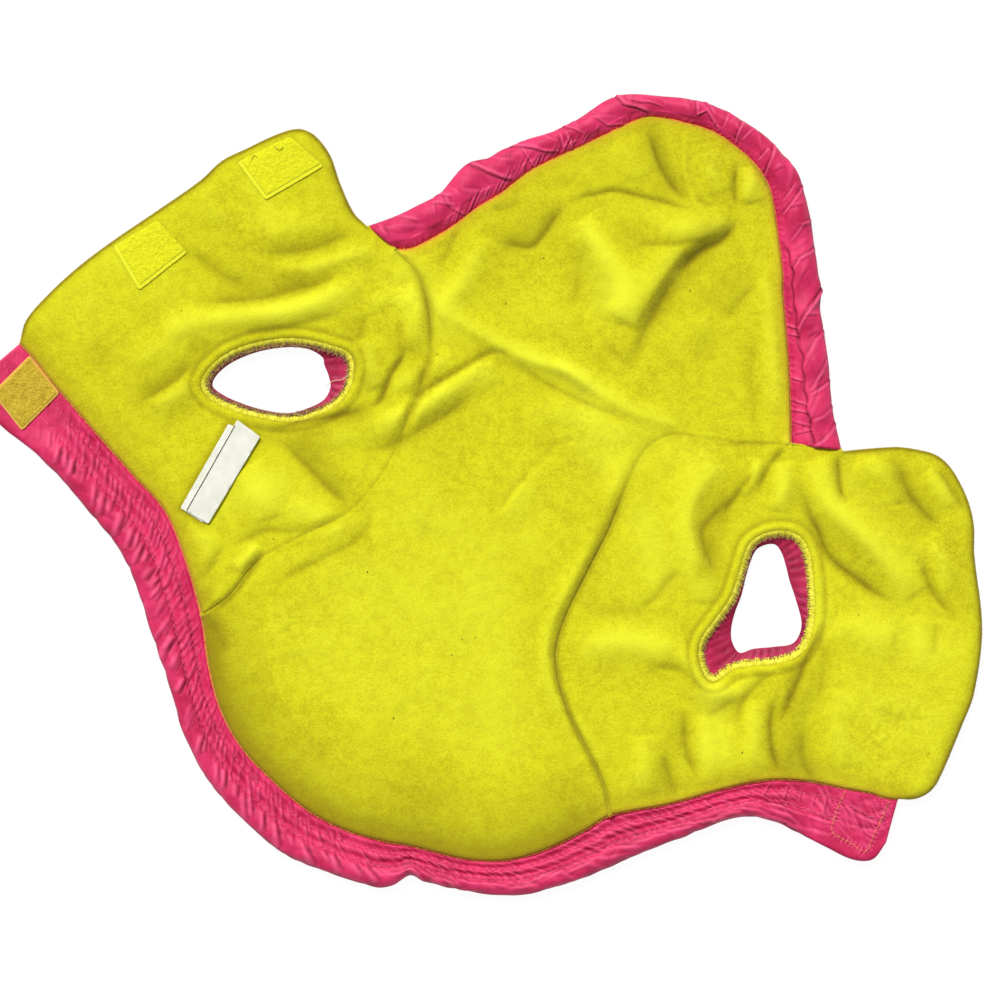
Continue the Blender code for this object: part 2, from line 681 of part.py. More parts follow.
make_panel("back", back_plan, nylon, fleece)
make_panel("right_chest", right_plan, nylon, fleece)
left_top = make_panel("left_chest", left_plan, nylon, fleece)
make_inlays(
    left_plan, left_top,
    {"flap_loop_neck": PATCH, "flap_loop_belly": PATCH, "care_label": LABEL},
    {"flap_loop_neck": loop_tape, "flap_loop_belly": loop_tape, "care_label": satin},
)
make_collar(nylon)
make_hem(nylon)
make_cuff("left_leg_cuff", left_ring, nylon)
make_cuff("right_leg_cuff", right_ring, nylon)
make_plate(COLLAR_LOOP, COLLAR_END + LAYER_GAP, PATCH, gold_tape)
make_plate(COLLAR_HOOK, 0.0, PATCH, hook_tape)
for hook in RIGHT_HOOKS:
    make_plate(hook, 0.0, PATCH, hook_tape)
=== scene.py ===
import math

import bpy
import numpy as np
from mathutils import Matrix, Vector
from mathutils.geometry import delaunay_2d_cdt
from mathutils.kdtree import KDTree


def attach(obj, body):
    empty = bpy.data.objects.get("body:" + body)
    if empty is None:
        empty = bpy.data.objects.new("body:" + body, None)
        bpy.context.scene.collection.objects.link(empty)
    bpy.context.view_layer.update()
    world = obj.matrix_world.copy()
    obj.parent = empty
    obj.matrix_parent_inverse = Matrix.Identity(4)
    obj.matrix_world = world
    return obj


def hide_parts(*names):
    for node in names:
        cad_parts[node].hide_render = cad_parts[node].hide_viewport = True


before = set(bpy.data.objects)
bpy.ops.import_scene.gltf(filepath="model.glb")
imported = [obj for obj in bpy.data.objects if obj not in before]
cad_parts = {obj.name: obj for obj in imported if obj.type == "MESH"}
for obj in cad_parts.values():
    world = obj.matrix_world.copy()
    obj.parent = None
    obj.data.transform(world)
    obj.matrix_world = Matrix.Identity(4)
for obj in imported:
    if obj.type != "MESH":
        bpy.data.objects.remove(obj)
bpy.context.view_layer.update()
mm = 0.001  # everything below is in millimetres until a mesh is made
print("frame loaded,", len(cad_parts), "nodes")


# camera, light and floor
studio = {
    "middle": (9.0, -2.5),      # point of the coat under the camera
    "across": 500.0,            # width of the view at the coat
    "distance": 1.8,            # metres from the camera to the coat
    "coatLevel": 0.004,         # metres
    "keyFrom": (-0.40, 0.90),   # direction in plan that the main light comes from
    "keyRise": 48.0,            # its height above the horizon, in degrees
    "keyPower": 2.95,
    "keySoftness": 16.0,        # degrees
    "skyPower": 0.30,
    "floorTone": 0.08,
    "floorGlow": 0.95,
    "floorHalf": 3.0, "floorDrop": 0.0004,   # metres; the drop keeps it clear of the coat
}


def sRgb(red, green, blue):
    part = [c / 255 for c in (red, green, blue)]
    return tuple(c / 12.92 if c <= 0.04045 else ((c + 0.055) / 1.055) ** 2.4 for c in part) + (1.0,)


def makeStudio():
    scene = bpy.context.scene
    camera = bpy.data.objects.new("camera", bpy.data.cameras.new("camera"))
    camera.data.lens = camera.data.sensor_width * studio["distance"] / (studio["across"] * mm)
    camera.data.clip_end = 20.0
    x, y = studio["middle"]
    camera.location = (x * mm, y * mm, studio["distance"] + studio["coatLevel"])
    scene.collection.objects.link(camera)
    scene.camera = camera

    key = bpy.data.objects.new("key", bpy.data.lights.new("key", "SUN"))
    key.data.energy = studio["keyPower"]
    key.data.angle = math.radians(studio["keySoftness"])
    rise = math.radians(studio["keyRise"])
    x, y = studio["keyFrom"]
    flat = math.cos(rise) / math.hypot(x, y)
    key.rotation_euler = Vector((x * flat, y * flat, math.sin(rise))).to_track_quat("Z", "Y").to_euler()
    scene.collection.objects.link(key)

    world = bpy.data.worlds.new("studio")
    world.use_nodes = True
    sky = world.node_tree.nodes["Background"].inputs
    sky["Color"].default_value = (1.0, 1.0, 1.0, 1.0)
    sky["Strength"].default_value = studio["skyPower"]
    scene.world = world
    scene.view_settings.view_transform = "Standard"
    scene.view_settings.look = "None"

    half, level = studio["floorHalf"], -studio["floorDrop"]
    mesh = bpy.data.meshes.new("floor")
    corners = [(-half, -half, level), (half, -half, level), (half, half, level), (-half, half, level)]
    mesh.from_pydata(corners, [], [(0, 1, 2, 3)])
    floor = bpy.data.objects.new("floor", mesh)
    paper = bpy.data.materials.new("white paper")
    paper.use_nodes = True
    surface = paper.node_tree.nodes["Principled BSDF"].inputs
    surface["Base Color"].default_value = (studio["floorTone"],) * 3 + (1.0,)
    surface["Roughness"].default_value = 1.0
    surface["Specular IOR Level"].default_value = 0.0
    surface["Emission Color"].default_value = (1.0, 1.0, 1.0, 1.0)
    surface["Emission Strength"].default_value = studio["floorGlow"]
    mesh.materials.append(paper)
    scene.collection.objects.link(floor)


makeStudio()
print("studio ready")


# node helpers
def addNode(tree, kind, inputs=None, **facts):
    made = tree.nodes.new(kind)
    for key, value in facts.items():
        setattr(made, key, value)
    for key, value in (inputs or {}).items():
        if isinstance(value, bpy.types.NodeSocket):
            tree.links.new(value, made.inputs[key])
        else:
            made.inputs[key].default_value = value
    return made


def maths(tree, operation, *values):
    return addNode(tree, "ShaderNodeMath", dict(enumerate(values)), operation=operation).outputs[0]


def mapped(tree, value, low, high, toLow=0.0, toHigh=1.0):
    inputs = {0: value, 1: low, 2: high, 3: toLow, 4: toHigh}
    return addNode(tree, "ShaderNodeMapRange", inputs).outputs[0]


def mixed(tree, share, first, second):
    return addNode(tree, "ShaderNodeMix", {0: share, 6: first, 7: second}, data_type="RGBA").outputs[2]


def place(tree):
    return addNode(tree, "ShaderNodeTexCoord").outputs["Object"]


def noise(tree, vector, size, detail, roughness, distortion=0.0):
    # features of about that size, in metres
    steps = maths(tree, "DIVIDE", 1.0, size)
    vector = addNode(tree, "ShaderNodeVectorMath", {0: vector, 3: steps}, operation="SCALE").outputs[0]
    inputs = {"Vector": vector, "Scale": 1.0, "Detail": detail, "Roughness": roughness,
              "Distortion": distortion}
    return addNode(tree, "ShaderNodeTexNoise", inputs).outputs[0]


def mask(tree, name, low, strength):
    # a value that is stored on the mesh, faded in from low
    stored = addNode(tree, "ShaderNodeAttribute", attribute_name=name).outputs["Fac"]
    return mapped(tree, stored, low, 1.0, 0.0, strength)


def newGroup(kind, name, inputs, outputs):
    group = bpy.data.node_groups.new(name, kind)
    for label, socketKind, *value in inputs:
        socket = group.interface.new_socket(label, in_out="INPUT", socket_type="NodeSocket" + socketKind)
        if value:
            socket.default_value = value[0]
    for label, socketKind in outputs:
        group.interface.new_socket(label, in_out="OUTPUT", socket_type="NodeSocket" + socketKind)
    return group, group.nodes.new("NodeGroupInput").outputs, group.nodes.new("NodeGroupOutput").inputs


# brushed pile: short clumps on a softer, larger unevenness
def makeNapGroup():
    group, given, result = newGroup(
        "ShaderNodeTree", "brushed nap",
        [("Vector", "Vector"), ("Tuft", "Float", 0.0012), ("Clump", "Float", 0.006),
         ("Patch", "Float", 0.045)],
        [("Shade", "Float"), ("Patchiness", "Float"), ("Height", "Float")])
    tuft = noise(group, given["Vector"], given["Tuft"], 2.0, 0.6, 0.2)
    clump = noise(group, given["Vector"], given["Clump"], 3.0, 0.55, 0.3)
    patch = noise(group, given["Vector"], given["Patch"], 3.0, 0.55, 0.5)
    tuftShade = maths(group, "MULTIPLY", mapped(group, tuft, 0.28, 0.72), 0.6)
    clumpShade = maths(group, "MULTIPLY", mapped(group, clump, 0.30, 0.70), 0.4)
    group.links.new(maths(group, "ADD", tuftShade, clumpShade), result["Shade"])
    group.links.new(mapped(group, patch, 0.3, 0.7), result["Patchiness"])
    group.links.new(maths(group, "ADD", tuft, maths(group, "MULTIPLY", clump, 1.1)), result["Height"])
    return group


# thin plain weave, and the crinkles that a light nylon takes when it is gathered
def makeWeaveGroup():
    group, given, result = newGroup(
        "ShaderNodeTree", "nylon weave",
        [("Vector", "Vector"), ("Thread", "Float", 0.00035), ("Crinkle", "Float", 0.004)],
        [("Height", "Float"), ("Crinkles", "Float")])
    steps = maths(group, "DIVIDE", 1.0, given["Thread"])
    threadwise = addNode(group, "ShaderNodeVectorMath", {0: given["Vector"], 3: steps}, operation="SCALE")
    split = addNode(group, "ShaderNodeSeparateXYZ", {0: threadwise.outputs[0]})
    waves = [maths(group, "SINE", maths(group, "MULTIPLY", split.outputs[k], math.pi)) for k in (0, 1)]
    threads = maths(group, "MULTIPLY", *waves)
    crinkle = noise(group, given["Vector"], given["Crinkle"], 4.0, 0.55, 0.8)
    ridge = maths(group, "ABSOLUTE", maths(group, "SUBTRACT", crinkle, 0.5))
    group.links.new(mapped(group, ridge, 0.0, 0.16, 1.0, 0.0), result["Crinkles"])
    group.links.new(maths(group, "MULTIPLY", threads, 0.5), result["Height"])
    return group


napGroup = makeNapGroup()
weaveGroup = makeWeaveGroup()


def placeGroup(tree, group, **inputs):
    return addNode(tree, "ShaderNodeGroup", dict(inputs, Vector=place(tree)), node_tree=group).outputs


def newFinish(name, constants):
    material = bpy.data.materials.new(name)
    material.use_nodes = True
    surface = material.node_tree.nodes["Principled BSDF"].inputs
    for key, value in constants.items():
        surface[key].default_value = value
    return material, material.node_tree, surface


def dressSurface(tree, surface, colour, height=None, strength=1.0, distance=0.0):
    tree.links.new(colour, surface["Base Color"])
    if height is not None:
        bump = addNode(tree, "ShaderNodeBump", {"Height": height, "Strength": strength, "Distance": distance})
        tree.links.new(bump.outputs[0], surface["Normal"])


fleeceLook = {
    "dark": sRgb(196, 187, 14),
    "middle": sRgb(218, 214, 20),
    "light": sRgb(234, 233, 34),
    "lit": sRgb(252, 255, 56),     # on the crest of a fold
    "paintedShade": sRgb(124, 103, 6),   # painted shade in creases and hollows
    "blush": sRgb(238, 150, 60),   # beside the pink bands
    "tuft": 0.0011, "clump": 0.0048, "patch": 0.050, "worn": 0.30,
    "bump": 0.43, "bumpDistance": 0.00045,
}


def makeFleece(name, look):
    material, tree, surface = newFinish(name, {
        "Roughness": 1.0, "Specular IOR Level": 0.1, "Sheen Weight": 0.25, "Sheen Roughness": 0.6,
        "Sheen Tint": (1.0, 0.98, 0.45, 1.0)})
    nap = placeGroup(tree, napGroup, Tuft=look["tuft"], Clump=look["clump"], Patch=look["patch"])
    low = mixed(tree, mapped(tree, nap["Shade"], 0.10, 0.55), look["dark"], look["middle"])
    colour = mixed(tree, mapped(tree, nap["Shade"], 0.45, 0.95), low, look["light"])
    colour = mixed(tree, mapped(tree, nap["Patchiness"], 0.0, 1.0, 0.0, look["worn"]), colour, look["light"])
    # painted highlight on fold crests, the blush beside the pink bands, then painted shade in creases,
    # hollows, round the edges and towards the neck
    for key, start, strength in (("lit", 0.0, 0.85), ("blush", 0.0, 1.0), ("paintedShade", 0.02, 0.85)):
        colour = mixed(tree, mask(tree, key, start, strength), colour, look[key])
    dressSurface(tree, surface, colour, nap["Height"], look["bump"], look["bumpDistance"])
    return material


nylonLook = {
    "deep": sRgb(206, 30, 84),
    "plain": sRgb(238, 54, 112),
    # raised: painted highlight on crease lips and relief above its surroundings; the next: painted shade in
    # troughs, valleys and along the outer edge
    "raised": sRgb(255, 92, 142),
    "paintedShade": sRgb(104, 4, 36),
    "patch": 0.012, "bump": 0.16, "bumpDistance": 0.00018,
}


def makeNylon(name, look):
    material, tree, surface = newFinish(name, {
        "Roughness": 0.56, "Specular IOR Level": 0.32, "Sheen Weight": 0.12, "Sheen Roughness": 0.4,
        "Sheen Tint": (1.0, 0.7, 0.8, 1.0)})
    weave = placeGroup(tree, weaveGroup)
    soft = noise(tree, place(tree), look["patch"], 3.0, 0.6, 0.4)
    colour = mixed(tree, mapped(tree, soft, 0.35, 0.65), look["deep"], look["plain"])
    # painted highlight on raised relief, and painted shade in troughs and valleys
    for key, start, strength in (("raised", 0.05, 0.85), ("paintedShade", 0.08, 0.9)):
        colour = mixed(tree, mask(tree, key, start, strength), colour, look[key])
    height = maths(tree, "ADD", weave["Height"], maths(tree, "MULTIPLY", weave["Crinkles"], 2.0))
    dressSurface(tree, surface, colour, height, look["bump"], look["bumpDistance"])
    return material


def makeThread(name, dark, light, roughness):
    material, tree, surface = newFinish(name, {"Roughness": roughness, "Sheen Weight": 0.2})
    soft = noise(tree, place(tree), 0.0022, 2.0, 0.5)
    dressSurface(tree, surface, mixed(tree, mapped(tree, soft, 0.35, 0.65), dark, light))
    return material


def makeTape(name, dark, light, selvedge, tuft):
    material, tree, surface = newFinish(name, {
        "Roughness": 0.9, "Specular IOR Level": 0.2, "Sheen Weight": 0.2, "Sheen Roughness": 0.5})
    nap = placeGroup(tree, napGroup, Tuft=tuft, Clump=tuft * 3, Patch=0.02)
    border = mask(tree, "border", 0.0, 1.0)
    colour = mixed(tree, border, mixed(tree, nap["Shade"], dark, light), selvedge)
    # painted shade in the low places of the pile
    colour = mixed(tree, mask(tree, "paintedShade", 0.08, 0.7), colour, dark)
    height = maths(tree, "MULTIPLY", nap["Height"], maths(tree, "SUBTRACT", 1.15, border))
    dressSurface(tree, surface, colour, height, 0.8, 0.0005)
    return material


def makeSatin(name):
    material, tree, surface = newFinish(name, {"Roughness": 0.5, "Sheen Weight": 0.1})
    weave = placeGroup(tree, weaveGroup, Thread=0.0004, Crinkle=0.01)
    soft = noise(tree, place(tree), 0.006, 2.0, 0.5)
    colour = mixed(tree, mapped(tree, soft, 0.3, 0.7), sRgb(236, 236, 218), sRgb(250, 250, 238))
    # painted shade in the low places of the label
    colour = mixed(tree, mask(tree, "paintedShade", 0.1, 0.8), colour, sRgb(96, 92, 60))
    dressSurface(tree, surface, colour, weave["Height"], 0.3, 0.0001)
    return material


fleeceFinish = makeFleece("yellow fleece pile", fleeceLook)
nylonFinish = makeNylon("pink quilted nylon", nylonLook)
threadYellow = makeThread("yellow overlock thread", sRgb(222, 212, 26), sRgb(252, 248, 74), 0.8)
threadPink = makeThread("pink stitching thread", sRgb(222, 62, 112), sRgb(248, 106, 150), 0.5)
borderFinish = makeThread("fleece edge turned in at the nylon", sRgb(226, 112, 62), sRgb(240, 160, 58), 0.9)
threadOrange = makeThread("orange stitching thread", sRgb(236, 118, 84), sRgb(246, 176, 86), 0.5)
threadPale = makeThread("pale loose thread", sRgb(226, 214, 150), sRgb(246, 240, 190), 0.6)
threadDark = makeThread("dark lint", sRgb(60, 52, 16), sRgb(110, 98, 34), 0.9)
threadGrey = makeThread("grey rule line and painted shadow", sRgb(58, 58, 56), sRgb(92, 92, 88), 0.7)
fuzzFinish = makeThread("loose fleece fibres", sRgb(232, 176, 44), sRgb(240, 220, 64), 0.9)
brownFibres = makeThread("worn cuff fibres", sRgb(160, 108, 86), sRgb(206, 180, 92), 0.9)
loopFinish = makeTape("yellow loop pile", sRgb(220, 217, 8), sRgb(255, 255, 38), sRgb(246, 246, 46), 0.0009)
goldFinish = makeTape("gold loop pile", sRgb(170, 136, 22), sRgb(236, 208, 66), sRgb(240, 190, 84), 0.0012)
hookFinish = makeTape("yellow hook tape", sRgb(196, 180, 40), sRgb(232, 222, 80), sRgb(236, 228, 90), 0.0007)
satinFinish = makeSatin("white woven satin")
print("finishes ready")


# plan of the coat, the same as the source's: x to the right and y up the photographed view
collarRows = [  # from the neckline seam out to the free edge, left end first
    (-231, 76, -244, 65), (-227, 72, -249.8, 56), (-222, 66, -248, 47), (-216, 58, -242, 36),
    (-208, 49, -231, 27), (-196, 35, -218, 16), (-174, 10, -196, -9), (-158, -8, -183, -25),
    (-148, -32, -174, -42), (-140, -60, -167, -64), (-136, -87, -157, -93), (-130, -108, -150, -117),
    (-120, -126, -139, -140), (-105, -142, -122, -160), (-86, -158, -100, -179), (-66, -168, -74, -190),
    (-48, -173, -53, -196), (-42, -174, -44, -195), (-36, -175, -36, -190), (-28, -177, -29, -193),
    (-6, -182, -8, -198), (14, -182, 17, -200), (34, -176, 41, -195), (52, -167, 62, -187),
    (64, -160, 71, -183), (94, -154, 98, -172), (127, -145, 130, -161), (146, -142, 148, -164),
    (164, -143, 160, -170), (184, -147, 178, -179), (195, -149, 189, -183), (201, -151, 196, -182),
    (208, -152, 202, -174),
]
seamsAtNeckline = (9, 24)  # rows of the collar where the chest seams meet it
hemRows = [  # from the seam round the tail out to the free edge, left end first
    (-43, 122, -57, 134), (-35, 123, -47, 138), (-26, 127, -34, 144), (-16, 133, -21, 151),
    (-1, 144, -8, 165), (9, 150, 4, 169), (23, 161, 16, 175), (39, 169, 33, 181), (54, 176, 46, 187),
    (75, 186, 67, 199), (84, 189, 84, 200), (104, 185, 109, 197), (116, 181, 122, 192),
    (128, 173, 135, 184), (138, 163, 148, 173), (144, 152, 158, 160), (147, 135, 164, 140),
    (150, 110, 168, 111), (150, 102, 170, 103), (151, 90, 169, 91), (153, 65, 173, 68),
    (154, 38, 176, 39), (154, 25, 180, 22),
]
leftCuffRows = [  # from the leg hole in the panel to the rim of the cuff, clockwise
    (-139, 55, -135, 55), (-135, 63, -132, 61), (-126, 70, -124, 67), (-112, 75, -111, 72),
    (-97, 77, -97, 74), (-85, 76, -87, 73), (-74, 73, -80, 69), (-67, 70, -79, 65), (-65, 64, -77, 60),
    (-67, 54, -76, 54), (-73, 46, -79, 48), (-83, 41, -86, 44), (-97, 38, -97, 41), (-112, 40, -111, 43),
    (-125, 44, -123, 47), (-135, 49, -131, 51),
]
rightCuffRows = [
    (134, -26, 137, -28), (140, -21, 142, -25), (149, -19, 147, -25), (157, -21, 150, -29),
    (162, -28, 152, -35), (164, -39, 154, -43), (165, -52, 157, -52), (164, -66, 160, -65),
    (159, -78, 156, -74), (147, -83, 146, -76), (135, -84, 136, -77), (125, -86, 130, -79),
    (115, -92, 127, -77), (110, -84, 125, -72), (110, -74, 125, -66), (118, -62, 127, -58),
    (125, -52, 130, -50), (130, -38, 133, -38),
]
leftSeamRows = [(-140, -60), (-126, -50), (-112, -33), (-91, -21), (-66, -8), (-47, 15), (-35, 43),
                (-26, 70), (-26, 90), (-31, 108), (-43, 122)]
rightSeamRows = [(64, -160), (60, -143), (44, -110), (37, -82), (41, -63), (53, -38), (64, -16),
                 (72, 4), (82, 23), (95, 30), (112, 28), (129, 26), (154, 25)]
leftFlapRows = [(-231, 76), (-228, 87), (-218, 99), (-203, 113), (-186, 126), (-161, 143), (-141, 157),
                (-130, 167), (-118, 173), (-103, 180), (-92, 183), (-84, 180), (-76, 170), (-71, 156),
                (-64, 141), (-57, 134)]
rightFlapRows = [(208, -152), (216, -152), (223, -149), (228, -143), (240, -115), (246, -99), (250, -67),
                 (246, -29), (246, -17), (244, -6), (240, 4), (234, 14), (227, 20), (216, 23), (206, 24),
                 (180, 22)]
tapeCorners = {
    "flapLoopNeck": [(-184, 124), (-162, 137), (-147, 121), (-171, 102)],
    "flapLoopBelly": [(-122, 166), (-96, 179), (-79, 164), (-108, 147)],
    "collarLoop": [(-226, 70), (-211, 51), (-230, 32), (-245, 51)],
    "flapHookBelly": [(211, 12), (229, 16), (241, -9), (222, -17)],
    "flapHookNeck": [(220, -58), (245, -57), (243, -88), (222, -91)],
    "collarHook": [(181, -151), (200, -154), (192, -177), (176, -170)],
}
labelCorners = {
    "careLabelBack": [(-126.5, 35.5), (-113, 29), (-139, -14), (-150.5, -6.5)],
    "careLabelFront": [(-122, 37.5), (-110.5, 29), (-136.5, -14.5), (-148, -7.5)],
}

# ridges of the fleece and the padding under it: the crest's line as x, y, x, y and so on, its height, and its
# reach to the left and right of the line
ridges = [
    # tail
    ((122, 138, 110, 130, 99, 122, 92, 113, 86, 104, 80, 94, 74, 84), 4.2, 4.5, 14.0),
    ((62, 141, 80, 138, 100, 134, 116, 134, 122, 144), 2.0, 9.0, 7.0),
    ((50, 138, 58, 126, 66, 114, 71, 100, 68, 86), 3.0, 9.0, 7.0),
    ((66, 176, 74, 168, 78, 158), 1.2, 7.0, 9.0),
    ((102, 182, 101, 165, 103, 155, 107, 144), 0.9, 1.5, 1.3),
    ((112, 176, 114, 162, 116, 150), 1.4, 7.0, 6.0),
    ((133, 164, 134, 156, 133, 146), 2.6, 6.0, 4.5),
    ((-24, 93, -10, 86, 0, 80, 12, 73, 26, 67, 40, 63, 52, 56, 64, 48, 80, 40, 98, 35), 2.6, 7.0, 3.5),
    ((-24, 91, -14, 101, -8, 110, -3, 120, 4, 128), 2.4, 6.0, 7.0),
    ((36, 66, 46, 60, 54, 54), 1.0, 6.0, 3.0),
    ((141, 116, 144, 90, 146, 62, 147, 40), 1.6, 4.0, 6.5),
    ((96, 66, 104, 80, 116, 92), 0.9, 9.0, 9.0),
    # middle
    ((-58, 33, -44, 38, -30, 44, -16, 53, -4, 61, 8, 65), 2.8, 5.5, 6.5),
    ((-45, 55, -36, 57, -28, 62, -14, 70), 1.8, 5.0, 5.0),
    ((20, 42, 40, 42, 60, 36, 84, 28), 1.2, 8.0, 9.0),
    ((8, -12, 16, -2, 24, 8, 31, 15), 0.7, 2.0, 6.0),
    ((60, -138, 50, -119, 38, -100, 32, -80, 36, -60, 48, -38, 58, -18, 65, 0, 76, 22), 1.7, 6.0, 3.5),
    # left chest
    ((-160, 84, -130, 88, -110, 90, -90, 94, -72, 101, -58, 110), 3.4, 7.0, 7.0),
    ((-104, 112, -84, 114, -64, 120, -52, 122), 2.0, 4.5, 4.5),
    ((-110, 132, -90, 134, -72, 140), 1.4, 8.0, 7.0),
    ((-138, 154, -136, 144, -128, 136), 1.0, 5.0, 5.0),
    ((-164, 43, -152, 51, -144, 59), 2.2, 5.0, 6.0),
    ((-178, 66, -164, 72, -148, 84), 1.2, 8.0, 7.0),
    ((-58, 96, -46, 98, -36, 92), 1.0, 6.0, 6.0),
    ((-61, 78, -57, 64, -53, 53), 2.6, 6.0, 5.0),
    ((-35, 106, -33, 88, -36, 72), 2.0, 5.0, 7.0),
    ((-122, -38, -115, -29, -112, -24), 2.0, 4.0, 5.0),
    ((-118, 14, -110, 0, -106, -12), 2.2, 9.0, 9.0),
    ((-96, -4, -80, -12, -68, -16), 1.4, 7.0, 7.0),
    ((-148, -18, -138, -22, -134, -34), 1.2, 5.0, 6.0),
    ((-78, 28, -64, 30, -54, 32), 1.0, 5.0, 5.0),
    # right chest
    ((165, 18, 169, 4, 177, -8, 187, -17, 197, -27, 207, -39, 215, -51), 4.4, 9.5, 6.5),
    ((186, 17, 198, 13, 206, 6, 208, -4), 2.4, 7.0, 8.0),
    ((222, 12, 228, 4, 233, -6), 1.6, 4.0, 4.0),
    ((224, -20, 230, -34, 234, -48), 1.5, 5.0, 6.0),
    ((150, 17, 151, 6, 148, -8), 2.6, 5.0, 6.0),
    ((139, 18, 135, 8, 130, 0), 1.8, 3.0, 3.0),
    ((120, 16, 108, 4, 102, -12, 105, -28, 112, -42, 112, -54), 3.2, 5.0, 11.0),
    ((46, -77, 70, -73, 90, -76, 102, -73), 2.2, 8.0, 8.0),
    ((100, -76, 105, -87, 112, -97, 126, -98, 138, -92), 2.2, 5.0, 5.0),
    ((80, -120, 84, -149), 1.3, 6.0, 6.0),
    ((110, -110, 114, -144), 1.5, 6.0, 5.0),
    ((122, -114, 126, -142), 0.9, 4.5, 4.5),
    ((136, -102, 134, -142), 1.6, 5.0, 5.0),
    ((154, -112, 152, -140), 1.2, 5.0, 4.0),
    ((162, -92, 158, -104, 156, -114), 1.2, 4.0, 3.0),
    ((176, -62, 190, -68, 206, -72), 1.6, 9.0, 9.0),
    ((176, -96, 178, -118, 182, -136), 1.4, 9.0, 8.0),
    ((216, -60, 218, -74, 217, -88), 1.0, 5.0, 4.0),
]
